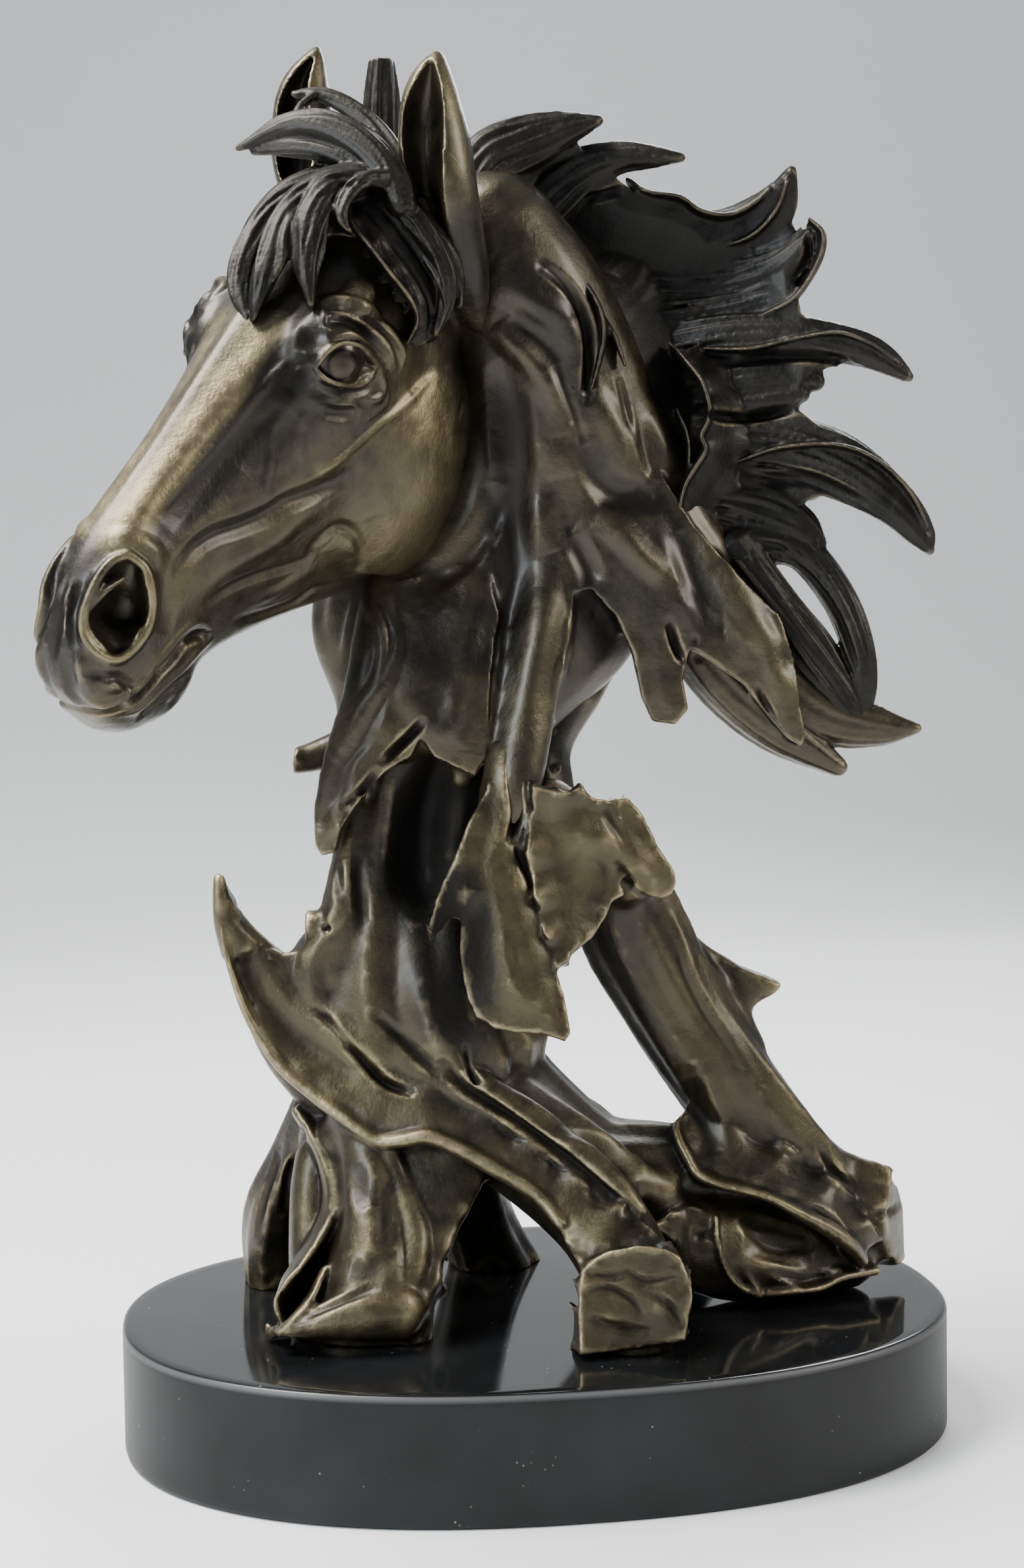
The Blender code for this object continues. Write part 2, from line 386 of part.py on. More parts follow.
BODY_STROKES = {
    "jowl_edge": ([(-5, 306), (-4, 284), (-9, 265), (-22, 253)], 6, -3.4),
    "neck_groove": ([(17, 294), (22, 280), (30, 275)], 6, -2.6),
    "crest_groove": ([(12, 337), (18, 327), (19, 312)], 4.5, -3),
    "band_groove": ([(45, 265), (50, 250), (58, 234)], 5.5, -2.8),
    "band_ridge": ([(50, 269), (60, 249), (71, 231), (77, 212)], 5, 2),
    "chest_groove": ([(-32, 243), (-27, 230), (-25, 218)], 8, -2.2),
    "arch_cave": ([(20, 240), (20, 230), (22, 222)], 9, -5),
    "throat_hollow": ([(-24, 202), (-34, 184), (-38, 160)], 13, -5),
    "knee_hollow": ([(-78, 128), (-62, 112), (-44, 100)], 8, -3.5),
    "rope_gap": ([(-28, 98), (-8, 87), (14, 72), (32, 58)], 4, -2.4),
    "saddle_hollow": ([(-14, 104), (4, 90), (20, 80), (34, 76)], 7, -2),
    "leg_ridge": ([(50, 118), (60, 104), (70, 90), (82, 78)], 6, 1.8),
    "leg_valley": ([(46, 112), (54, 98), (66, 86), (80, 74)], 5, -1.8),
    "foot_hollow": ([(-57, 62), (-60, 48)], 8, -4),
    "leaf_hollow": ([(52, 55), (66, 52), (80, 50)], 7, -4),
    "mane_hollow": ([(12, 352), (32, 345), (54, 342), (70, 342)], 13, -3),
    "fifth_hollow": ([(70, 280), (84, 279), (98, 273)], 4.5, -3),
}


def build_masses(clay):
    cuts = {"front_root": FRONT_CUT, "stump_low": FRONT_CUT, "foot": FOOT_CUT}
    for group in (ROOTS, NECK):
        for name, stations in group.items():
            roll(clay, stations, cut=cuts.get(name))


def build_sheets(clay):
    for name, stations in (RIMS | LOCKS_BELOW).items():
        roll(clay, stations, sides=SHEET_ROLL_SIDES, cut=SPUR_CUT if name == "spur" else None)
    for outline in LEAVES.values():
        plate(clay, outline, thickness=LEAF_THICKNESS, hollow=-3)
    for outline in NECK_SHEETS.values():
        plate(clay, outline, thickness=SHEET_THICKNESS, hollow=-4)
    plate(clay, MANE_SHEET, thickness=SHEET_THICKNESS, hollow=15, reach=18)
    plate(clay, FORELOCK_SHEET, thickness=LEAF_THICKNESS, hollow=-2)
    for stations in (*MANE.values(), *FORELOCK.values(), *CURLS.values(), CROWN):
        roll(clay, stations, sides=SHEET_ROLL_SIDES)
    roll(clay, TOPKNOT, cut=TOPKNOT_CUT)


def head_frame():
    """Axes of the head on the drawing: down the nose, out of the forehead, and towards the near side."""
    nose = NOSE_WAY.normalized()
    far = (FAR_WAY - nose * FAR_WAY.dot(nose)).normalized()
    return nose, far.cross(nose).normalized(), -far


def on_head(along, up, side):
    nose, brow, near = head_frame()
    return POLL + (nose * along + brow * up + near * side) * HEAD_SCALE


def over_the_nose(spot):
    """The same point of the drawing on the head's other side."""
    near = head_frame()[2]
    return spot - near * (2 * (spot - POLL).dot(near))


def build_head(clay):
    bm = bmesh.new()
    rings = []
    count = 3 * (len(HEAD) - 1) + 1
    for i in range(count):
        along, top, bottom, *widths = between(HEAD, i / (count - 1))
        half = np.array([0.0, *widths, 0.0])
        made = bmesh.ops.create_circle(bm, segments=HEAD_SIDES, radius=1.0)["verts"]
        for vert in made:
            down = math.acos(max(-1.0, min(1.0, vert.co.y))) / math.pi
            share = math.sin(down * math.pi / 2) ** 2
            side = np.interp(share, HEAD_LEVELS, half)
            vert.co = on_head(along, top + (bottom - top) * share, math.copysign(side, vert.co.x))
        rings.append(ring_of(made))
    skin_rings(bm, rings)
    lay(clay, bm)
    frame = head_frame()
    for (along, up, side), radii in BUMPS.values():
        for way in (1, -1):
            ball(clay, on_head(along, up, side * way), radii, frame)
    for stations in EARS.values():
        roll(clay, stations, sides=EAR_SIDES)


def stroke(spots, normals, path, ways, radius, lift):
    """Raises the skin along a path of points by lift, fading to nothing at the radius."""
    length = sum((a - b).length for a, b in zip(path, path[1:]))
    count = max(2, math.ceil(2 * length / radius))
    track = np.array([between(path, i / count) for i in range(count + 1)])
    aims = np.array([between(ways, i / count) for i in range(count + 1)])
    close = np.flatnonzero(np.all((spots > track.min(0) - radius) & (spots < track.max(0) + radius), axis=1))
    near = spots[close]
    distance = np.full(len(close), 2.0 * radius)
    place = np.zeros(len(close))
    for i, start in enumerate(track[:-1]):
        side = track[i + 1] - start
        share = np.clip((near - start) @ side / max(side @ side, 1e-12), 0, 1)
        gap = np.linalg.norm(near - start - share[:, None] * side, axis=1)
        closer = gap < distance
        distance[closer] = gap[closer]
        place[closer] = i + share[closer]
    i = np.minimum(place.astype(int), count - 1)
    way = aims[i] + (aims[i + 1] - aims[i]) * (place - i)[:, None]
    way /= np.linalg.norm(way, axis=1)[:, None]
    facing = np.sum(normals[close] * way, axis=1)
    strength = np.clip(1 - (distance / radius) ** 2, 0, 1) ** 2 * np.clip(facing * 2, 0, 1)
    spots[close] += way * (lift * strength)[:, None]


def sculpt(obj):
    """Works every stroke into the skin, and those of the head into its far side too."""
    mesh = obj.data
    spots = np.empty(len(mesh.vertices) * 3)
    normals = np.empty(len(mesh.vertices) * 3)
    mesh.vertices.foreach_get("co", spots)
    mesh.vertices.foreach_get("normal", normals)
    spots, normals = spots.reshape(-1, 3), normals.reshape(-1, 3)
    tree = BVHTree.FromPolygons([Vector(s) for s in spots], [list(p.vertices) for p in mesh.polygons])
    start = drawn_to_metres(EYE)
    for name, (path, radius, lift) in (HEAD_STROKES | BODY_STROKES).items():
        aims = [(drawn_to_metres(seen(x, z, 0)) - start).normalized() for x, z in path]
        hits = [hit[:2] for hit in (tree.ray_cast(start, aim) for aim in aims) if hit[0] is not None]
        stroke(spots, normals, *zip(*hits), radius * MM, lift * MM)
        if name in HEAD_STROKES:
            over = [drawn_to_metres(over_the_nose(metres_to_drawn(hit))) for hit, _ in hits]
            landed = [tree.find_nearest(spot)[:2] for spot in over]
            stroke(spots, normals, *zip(*landed), radius * MM, lift * MM)
    mesh.vertices.foreach_set("co", spots.ravel())
    mesh.update()


def as_object(name, bm, collection):
    mesh = bpy.data.meshes.new(name)
    bmesh.ops.recalc_face_normals(bm, faces=bm.faces)
    bm.to_mesh(mesh)
    bm.free()
    made = bpy.data.objects.new(name, mesh)
    collection.objects.link(made)
    return made


def baked(obj):
    """The object's mesh with its modifiers in it, and the modifiers taken off."""
    bpy.context.view_layer.update()
    graph = bpy.context.evaluated_depsgraph_get()
    mesh = bpy.data.meshes.new_from_object(obj.evaluated_get(graph))
    obj.modifiers.clear()
    old = obj.data
    obj.data = mesh
    bpy.data.meshes.remove(old)


def fuse(obj, voxel, smooth_steps):
    """Joins overlapping clay into one skin and softens it."""
    skin = obj.modifiers.new("fuse", "REMESH")
    skin.mode = "VOXEL"
    skin.voxel_size = voxel
    soften = obj.modifiers.new("soften", "SMOOTH")
    soften.factor = 0.5
    soften.iterations = smooth_steps
    baked(obj)


def drawn_to_metres(point):
    return (Vector(point) - Vector((0, 0, DRAWN_PLINTH_TOP))) * (FIGURE_HEIGHT / DRAWN_FIGURE_HEIGHT)


def metres_to_drawn(point):
    return Vector(point) * (DRAWN_FIGURE_HEIGHT / FIGURE_HEIGHT) + Vector((0, 0, DRAWN_PLINTH_TOP))


def clay_object(name, clay, collection):
    mesh = bpy.data.meshes.new(name)
    mesh.from_pydata([drawn_to_metres(corner) for corner in clay["corners"]], [], clay["faces"])
    made = bpy.data.objects.new(name, mesh)
    collection.objects.link(made)
    return made


def hollow_out(obj, cutters):
    """Cuts each hollow of the drawing out of the masses, and the nostril's mirrored one too."""
    for name, stations in HOLLOWS.items():
        clay = new_clay()
        roll(clay, stations, sides=EAR_SIDES)
        if name == "nostril":
            far = [over_the_nose(corner) for corner in clay["corners"]]
            clay["faces"] += [[i + len(far) for i in reversed(face)] for face in clay["faces"]]
            clay["corners"] += far
        cutter = clay_object(name + "_cutter", clay, cutters)
        cutter.display_type = "WIRE"
        cut = obj.modifiers.new(name, "BOOLEAN")
        cut.operation = "DIFFERENCE"
        cut.solver = "EXACT"
        cut.object = cutter
    baked(obj)


def build_casting(collection, cutters):
    masses = new_clay()
    build_masses(masses)
    build_head(masses)
    obj = clay_object("bronze_horse", masses, collection)
    fuse(obj, MASS_SKIN, MASS_SMOOTH_STEPS)
    hollow_out(obj, cutters)
    sheets = new_clay()
    build_sheets(sheets)
    laid = clay_object("sheets", sheets, collection)
    bm = bmesh.new()
    bm.from_mesh(obj.data)
    bm.from_mesh(laid.data)
    bm.to_mesh(obj.data)
    bm.free()
    bpy.data.objects.remove(laid)
    fuse(obj, SKIN, SMOOTH_STEPS)
    sculpt(obj)
    thin = obj.modifiers.new("thin", "DECIMATE")
    thin.ratio = min(1.0, FACET_COUNT / (2 * len(obj.data.polygons)))
    thin.use_collapse_triangulate = True
    baked(obj)
    stand(obj)
    return obj


def stand(obj):
    """Cuts the casting flat where it meets the plinth and sets it there, turned as it stands."""
    bm = bmesh.new()
    bm.from_mesh(obj.data)
    geometry = list(bm.verts) + list(bm.edges) + list(bm.faces)
    bmesh.ops.bisect_plane(bm, geom=geometry, plane_co=(0, 0, 0), plane_no=(0, 0, 1), clear_inner=True)
    rim = [e for e in bm.edges if e.is_boundary]
    bmesh.ops.triangle_fill(bm, edges=rim, use_beauty=True)
    bmesh.ops.recalc_face_normals(bm, faces=bm.faces)
    place = Matrix.Translation((0, 0, PLINTH_HEIGHT + SEAT_GAP)) @ Matrix.Rotation(FIGURE_TURN, 4, "Z")
    bmesh.ops.transform(bm, matrix=place, verts=bm.verts)
    bm.to_mesh(obj.data)
    bm.free()


def build_plinth(collection):
    """The oval marble block: a superellipse pulled up to its height, with a small bevel at both edges."""
    bm = bmesh.new()
    made = bmesh.ops.create_circle(bm, cap_ends=True, segments=PLINTH_SIDES, radius=1.0)["verts"]
    for vert in made:
        c, s = vert.co.x, vert.co.y
        power = 2 / PLINTH_SQUARENESS
        vert.co.x = PLINTH_LENGTH / 2 * math.copysign(abs(c) ** power, c)
        vert.co.y = PLINTH_DEPTH / 2 * math.copysign(abs(s) ** power, s)
    pulled = bmesh.ops.extrude_face_region(bm, geom=list(bm.faces))["geom"]
    lifted = [v for v in pulled if isinstance(v, bmesh.types.BMVert)]
    bmesh.ops.translate(bm, vec=(0, 0, PLINTH_HEIGHT), verts=lifted)
    obj = as_object("marble_plinth", bm, collection)
    edge = obj.modifiers.new("edge", "BEVEL")
    edge.width = PLINTH_EDGE
    edge.segments = 2
    edge.limit_method = "ANGLE"
    return obj


def material(name, colour, roughness, metallic):
    made = bpy.data.materials.new(name)
    made.use_nodes = True
    shader = made.node_tree.nodes["Principled BSDF"]
    shader.inputs["Base Color"].default_value = (*colour, 1)
    shader.inputs["Roughness"].default_value = roughness
    shader.inputs["Metallic"].default_value = metallic
    return made


def main():
    for obj in list(bpy.data.objects):
        bpy.data.objects.remove(obj)
    collection = bpy.data.collections.new("horse_sculpture")
    bpy.context.scene.collection.children.link(collection)
    cutters = bpy.data.collections.new("cutters")
    cutters.hide_render = True
    bpy.context.scene.collection.children.link(cutters)
    casting = build_casting(collection, cutters)
    casting.data.materials.append(material("bronze", (0.16, 0.125, 0.085), 0.38, 0.85))
    plinth = build_plinth(collection)
    plinth.data.materials.append(material("black_marble", (0.018, 0.019, 0.02), 0.18, 0.0))


if __name__ == "__main__":
    main()
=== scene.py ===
import math

import bmesh
import bpy
import numpy as np
from mathutils import Matrix, Vector
from mathutils.bvhtree import BVHTree
from mathutils.kdtree import KDTree


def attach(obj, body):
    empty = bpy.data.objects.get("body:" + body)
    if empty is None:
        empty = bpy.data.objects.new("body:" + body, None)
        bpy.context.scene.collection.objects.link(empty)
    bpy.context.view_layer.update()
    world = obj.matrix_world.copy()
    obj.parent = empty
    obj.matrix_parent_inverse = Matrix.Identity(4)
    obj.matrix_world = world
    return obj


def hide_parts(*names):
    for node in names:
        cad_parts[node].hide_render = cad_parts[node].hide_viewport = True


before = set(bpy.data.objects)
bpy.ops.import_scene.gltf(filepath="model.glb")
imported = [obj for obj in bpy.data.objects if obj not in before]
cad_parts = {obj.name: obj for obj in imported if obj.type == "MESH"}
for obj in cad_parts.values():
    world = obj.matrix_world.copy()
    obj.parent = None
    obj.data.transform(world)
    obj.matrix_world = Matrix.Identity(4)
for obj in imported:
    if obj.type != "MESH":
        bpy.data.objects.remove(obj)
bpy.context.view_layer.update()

print("scene: frame loaded")

# The figure is laid out on a front drawing, in millimetres: x right, z up, back away from the drawing's eye
eye = Vector((-5.1, -682.0, 231.5))
figureTurn = math.radians(-8.5)
drawnTop = 36.0
plinthHeight = 0.036
seatGap = 0.0003
massVoxel = 1.6
# Each finished piece keeps to this many triangles; a coarser skin is for trying things out
mostTriangles = 194000
coarser = 1.0


def seen(x, z, back):
    share = (back - eye.y) / -eye.y
    return Vector((eye.x + (x - eye.x) * share, back, eye.z + (z - eye.z) * share))


# A smooth curve through rows of values, read at share from 0 to 1
def curveAt(values, share):
    rows = np.array(values, float)
    if len(rows) == 2:
        return rows[0] + (rows[1] - rows[0]) * share
    place = share * (len(rows) - 1)
    i = min(int(place), len(rows) - 2)
    t = place - i
    p1, p2 = rows[i], rows[i + 1]
    p0 = rows[i - 1] if i > 0 else 2 * p1 - p2
    p3 = rows[i + 2] if i + 2 < len(rows) else 2 * p2 - p1
    return 0.5 * (2 * p1 + (p2 - p0) * t + (2 * p0 - 5 * p1 + 4 * p2 - p3) * t**2
                  + (3 * p1 - p0 - 3 * p2 + p3) * t**3)


def newClay():
    return {"corners": [], "faces": []}


def lay(clay, bm):
    bmesh.ops.recalc_face_normals(bm, faces=list(bm.faces))
    first = len(clay["corners"])
    bm.verts.index_update()
    clay["corners"] += [v.co.copy() for v in bm.verts]
    clay["faces"] += [[first + v.index for v in f.verts] for f in bm.faces]
    bm.free()


def skinRings(bm, rings):
    for one, other in zip(rings, rings[1:]):
        bmesh.ops.bridge_loops(bm, edges=one + other)
    bmesh.ops.contextual_create(bm, geom=rings[0])
    bmesh.ops.contextual_create(bm, geom=rings[-1])


def ringOf(made):
    return list({edge for vert in made for edge in vert.link_edges})


# A tapered roll of clay through points, with its half width and half depth at each, fluted if asked
def rollAlong(clay, points, sizes, sides, cut=None, flutes=0, fluteDepth=0.1):
    bm = bmesh.new()
    rings = []
    count = len(points)
    thinnest = 0.35
    for i, point in enumerate(points):
        along = (points[min(i + 1, count - 1)] - points[max(i - 1, 0)]).normalized()
        last = i == count - 1
        if cut and last:
            along = Vector(cut).normalized()
        across = along.cross(Vector((0, -1, 0))).normalized()
        through = across.cross(along).normalized()
        width, depth = max(sizes[i][0], thinnest), max(sizes[i][1], thinnest)
        # How far past the point each ring lies, and its share of the full size, to round off the ends
        tapers = [(0.0, 1.0)]
        if i == 0:
            tapers = [(-0.75, 0.3), (-0.5, 0.74), (0.0, 1.0)]
        elif last and not cut:
            tapers = [(0.0, 1.0), (0.5, 0.74), (0.75, 0.3)]
        for push, share in tapers:
            turn = Matrix((across * width * share, through * depth * share, along)).transposed().to_4x4()
            place = Matrix.Translation(point + along * (push * min(width, depth))) @ turn
            made = bmesh.ops.create_circle(bm, segments=sides, radius=1.0)["verts"]
            for vert in made:
                if flutes:
                    angle = math.atan2(vert.co.y, vert.co.x)
                    ripple = math.cos(flutes * angle + 0.15 * i)
                    ripple += 0.6 * math.cos((2 * flutes + 3) * angle - 0.2 * i)
                    vert.co *= 1 + fluteDepth * (ripple - 0.6)
                vert.co = place @ vert.co
            rings.append(ringOf(made))
    skinRings(bm, rings)
    lay(clay, bm)


# The same, from stations (x, z, back, half width, half depth) of the drawing
def roll(clay, stations, steps=4, **kept):
    count = steps * (len(stations) - 1) + 1
    rows = [curveAt(stations, i / (count - 1)) for i in range(count)]
    sizes = [(row[3] * (row[2] - eye.y) / -eye.y, row[4]) for row in rows]
    rollAlong(clay, [seen(*row[:3]) for row in rows], sizes, **kept)


# Fine strands that run along the front of a lock
def strands(clay, stations, count, size, wave, proud, seed):
    points = 6
    for k in range(count):
        u = (-1 + 2 * (k + 0.5) / count) * 0.92
        phase = 2.4 * k + seed
        first = 0.08 * (1 + math.sin(3.1 * k + seed))
        final = 1.0 - 0.07 * (1 + math.sin(1.7 * k + 2 * seed))
        rows = []
        for j in range(points):
            s = first + (final - first) * j / (points - 1)
            x, z, back, width, depth = curveAt(stations, s)
            ahead, behind = curveAt(stations, min(1, s + 0.03)), curveAt(stations, max(0, s - 0.03))
            way = Vector((ahead[0] - behind[0], ahead[1] - behind[1])).normalized()
            side = u + wave * math.sin(phase + 6 * s)
            off = side * width
            rise = depth * math.sqrt(max(0.05, 1 - min(1, side * side))) * proud
            thick = size * (0.45 + 0.55 * math.sin(math.pi * (0.15 + 0.8 * j / (points - 1))))
            thick *= 1 + 0.25 * math.sin(phase)
            thick = min(thick, 0.3 + 0.5 * width)
            rows.append((x - way.y * off, z + way.x * off, back - rise, thick, thick))
        roll(clay, rows, steps=3, sides=8)


# A torn sheet: an outline (x, z, back), its middle hollow mm behind its rim, all of it sunk mm further back
def plate(clay, outline, thickness, hollow=0.0, reach=12.0, sunk=0.0):
    bm = bmesh.new()
    rim = np.array(outline, float)
    corners = [bm.verts.new((x, 0, z)) for x, z, _ in outline]
    edges = [bm.edges.new((corners[i - 1], corners[i])) for i in range(len(corners))]
    bmesh.ops.triangle_fill(bm, edges=edges, use_beauty=True)
    bmesh.ops.subdivide_edges(bm, edges=list(bm.edges), cuts=5, use_grid_fill=True)
    starts, ends = rim[:, :2], np.roll(rim[:, :2], -1, axis=0)
    for vert in bm.verts:
        spot = np.array((vert.co.x, vert.co.z))
        nearness = 1 / (np.sum((starts - spot) ** 2, axis=1) + 0.3)
        back = float(np.sum(nearness * rim[:, 2]) / np.sum(nearness))
        sides = ends - starts
        share = np.clip(np.sum((spot - starts) * sides, axis=1) / np.sum(sides**2, axis=1), 0, 1)
        inward = float(np.min(np.linalg.norm(starts + sides * share[:, None] - spot, axis=1)))
        back += hollow * (1 - math.exp(-((inward / reach) ** 2))) + sunk
        vert.co = seen(vert.co.x, vert.co.z, back)
    bmesh.ops.recalc_face_normals(bm, faces=list(bm.faces))
    if sum(face.normal.y for face in bm.faces) > 0:
        bmesh.ops.reverse_faces(bm, faces=list(bm.faces))
        bm.normal_update()
    bmesh.ops.solidify(bm, geom=list(bm.faces), thickness=thickness)
    lay(clay, bm)


def layRolls(clay, rolls, **kept):
    for stations in rolls.values():
        roll(clay, stations, **kept)


def clayObject(name, clay):
    mesh = bpy.data.meshes.new(name)
    mesh.from_pydata(clay["corners"], [], clay["faces"])
    made = bpy.data.objects.new(name, mesh)
    bpy.context.scene.collection.objects.link(made)
    return made


def bakeModifiers(obj):
    bpy.context.view_layer.update()
    graph = bpy.context.evaluated_depsgraph_get()
    mesh = bpy.data.meshes.new_from_object(obj.evaluated_get(graph))
    obj.modifiers.clear()
    obj.data = mesh


def fuse(obj, voxel, smoothSteps):
    skin = obj.modifiers.new("fuse", "REMESH")
    skin.mode = "VOXEL"
    skin.voxel_size = voxel
    soften = obj.modifiers.new("soften", "SMOOTH")
    soften.factor = 0.5
    soften.iterations = smoothSteps
    bakeModifiers(obj)


def skinTree(obj):
    bpy.context.view_layer.update()
    return BVHTree.FromObject(obj, bpy.context.evaluated_depsgraph_get())


# Where the drawing's x, z meets the skin, and which way the skin faces there
def onSkin(tree, x, z):
    hit, normal, _, _ = tree.ray_cast(eye, (seen(x, z, 0) - eye).normalized())
    return hit, normal


# The head has its own frame on the drawing: down the nose, out of the forehead, towards the near side
poll = Vector((-40.2, -19.6, 355.3))
noseWay = Vector((-0.499, -0.423, -0.756)).normalized()
farWay = Vector((-0.797, 0.566, 0.209))
farWay = (farWay - noseWay * farWay.dot(noseWay)).normalized()
headAxes = (noseWay, farWay.cross(noseWay).normalized(), -farWay)
headScale = 0.959


def onHead(along, up, side):
    nose, brow, near = headAxes
    return poll + (nose * along + brow * up + near * side) * headScale


# The same point on the head's other side
def overTheNose(spot):
    near = headAxes[2]
    return spot - near * (2 * (spot - poll).dot(near))


def mirrorClay(clay):
    first = len(clay["corners"])
    clay["faces"] += [[i + first for i in reversed(face)] for face in clay["faces"]]
    clay["corners"] += [overTheNose(corner) for corner in clay["corners"][:first]]


# A rope of clay laid along a path of points and widths, and again on the head's other side
def layRope(clay, rows, radius, flat=1.0):
    count = 4 * (len(rows) - 1) + 1
    curve = [curveAt(rows, i / (count - 1)) for i in range(count)]
    points = [Vector(row[:3]) for row in curve]
    sizes = [(radius * row[3], radius * row[3] * flat) for row in curve]
    for side in (points, [overTheNose(point) for point in points]):
        rollAlong(clay, side, sizes, sides=10)


# The same, found on the skin from a drawn path (x, z, width) and sunk by a share of its radius
def bead(clay, tree, path, radius, sunk, flat=1.0):
    found = [onSkin(tree, x, z) for x, z, *_ in path]
    rows = [(*(hit - normal * radius * sunk), *(row[2:] or (1.0,))) for (hit, normal), row in zip(found, path)
            if hit is not None]
    layRope(clay, rows, radius, flat)


# Cutters are rolls (x, z, back, half width, half depth), made for both sides of the head where mirrored
def hollowOut(obj, hollows, mirrored=(), cutters=()):
    cutters = list(cutters)
    for name, stations in hollows.items():
        clay = newClay()
        roll(clay, stations, sides=24)
        if name in mirrored:
            mirrorClay(clay)
        cutters.append(clayObject(name + "_cutter", clay))
    for cutter in cutters:
        cut = obj.modifiers.new(cutter.name, "BOOLEAN")
        cut.operation = "DIFFERENCE"
        cut.solver = "EXACT"
        cut.object = cutter
    bakeModifiers(obj)
    for cutter in cutters:
        bpy.data.objects.remove(cutter)


# How far each corner is from a path, and its place along it
def alongTrack(near, track, reach):
    distance = np.full(len(near), 2.0 * reach)
    place = np.zeros(len(near))
    for i, start in enumerate(track[:-1]):
        side = track[i + 1] - start
        share = np.clip((near - start) @ side / max(side @ side, 1e-9), 0, 1)
        gap = np.linalg.norm(near - start - share[:, None] * side, axis=1)
        closer = gap < distance
        distance[closer] = gap[closer]
        place[closer] = i + share[closer]
    return distance, place


# Moves skin within a tool's radius of a path, along the way the skin faces there
def workStroke(spots, normals, path, ways, radius, lift):
    length = sum((a - b).length for a, b in zip(path, path[1:]))
    count = max(2, math.ceil(2 * length / radius))
    track = np.array([curveAt(path, i / count) for i in range(count + 1)])
    aims = np.array([curveAt(ways, i / count) for i in range(count + 1)])
    close = np.flatnonzero(np.all((spots > track.min(0) - radius) & (spots < track.max(0) + radius), axis=1))
    distance, place = alongTrack(spots[close], track, radius)
    i = np.minimum(place.astype(int), count - 1)
    way = aims[i] + (aims[i + 1] - aims[i]) * (place - i)[:, None]
    way /= np.linalg.norm(way, axis=1)[:, None]
    facing = np.sum(normals[close] * way, axis=1)
    # A stroke fades in and out at its two ends
    ends = np.clip(np.sin(np.pi * np.clip(place / count, 0.02, 0.98)), 0, 1) ** 0.5
    strength = np.clip(1 - (distance / radius) ** 2, 0, 1) ** 2 * np.clip(facing * 2, 0, 1) * ends
    spots[close] += way * (lift * strength)[:, None]


def cornersOf(mesh, what):
    values = np.empty(len(mesh.vertices) * 3, np.float32)
    mesh.vertices.foreach_get(what, values)
    return values.reshape(-1, 3).astype(float)


# Each path of the drawing as the skin's corners and facings, and again on the head's other side
def pathsOnSkin(obj, strokes, mirrored):
    tree = skinTree(obj)
    for path, *rest in strokes.values():
        found = [pair for pair in (onSkin(tree, x, z) for x, z in path) if pair[0] is not None]
        if len(found) < 2:
            continue
        yield *zip(*found), *rest
        if mirrored:
            landed = [tree.find_nearest(overTheNose(hit))[:2] for hit, _ in found]
            yield *zip(*landed), *rest


def sculpt(obj, strokes, mirrored):
    spots, normals = cornersOf(obj.data, "co"), cornersOf(obj.data, "normal")
    for path, ways, radius, lift in pathsOnSkin(obj, strokes, mirrored):
        workStroke(spots, normals, path, ways, radius, lift)
    obj.data.vertices.foreach_set("co", spots.astype(np.float32).ravel())
    obj.data.update()


# Paints a number at each corner that lightens or darkens the patina along the drawn tones: mostly painted
# light and shade, partly the bronze's own tone
def paint(obj, lightAndShadeTones, mirrored):
    spots = cornersOf(obj.data, "co")
    light_and_shade_tone = np.zeros(len(spots))
    for path, _, reach, amount in pathsOnSkin(obj, lightAndShadeTones, mirrored):
        distance, _ = alongTrack(spots, np.array([curveAt(path, i / 8) for i in range(9)]), reach)
        light_and_shade_tone += amount * np.clip(1 - (distance / reach) ** 2, 0, 1) ** 1.5
    layer = obj.data.attributes.new("light_and_shade_tone", "FLOAT", "POINT")
    layer.data.foreach_set("value", light_and_shade_tone.astype(np.float32))


# From the drawing's millimetres to where the casting stands on the plinth
standing = (Matrix.Translation((0, 0, plinthHeight + seatGap)) @ Matrix.Rotation(figureTurn, 4, "Z")
            @ Matrix.Scale(0.001, 4) @ Matrix.Translation((0, 0, -drawnTop)))


def stand(obj):
    bm = bmesh.new()
    bm.from_mesh(obj.data)
    if min(vert.co.z for vert in bm.verts) < drawnTop:
        geometry = list(bm.verts) + list(bm.edges) + list(bm.faces)
        bmesh.ops.bisect_plane(bm, geom=geometry, plane_co=(0, 0, drawnTop), plane_no=(0, 0, 1),
                               clear_inner=True)
        bmesh.ops.triangle_fill(bm, edges=[e for e in bm.edges if e.is_boundary], use_beauty=True)
        bmesh.ops.recalc_face_normals(bm, faces=bm.faces)
    bmesh.ops.transform(bm, matrix=standing, verts=bm.verts)
    bm.to_mesh(obj.data)
    bm.free()


def joinMeshes(name, meshes):
    bm = bmesh.new()
    for mesh in meshes:
        bm.from_mesh(mesh)
    made = bpy.data.meshes.new(name)
    bm.to_mesh(made)
    bm.free()
    obj = bpy.data.objects.new(name, made)
    bpy.context.scene.collection.objects.link(obj)
    return obj
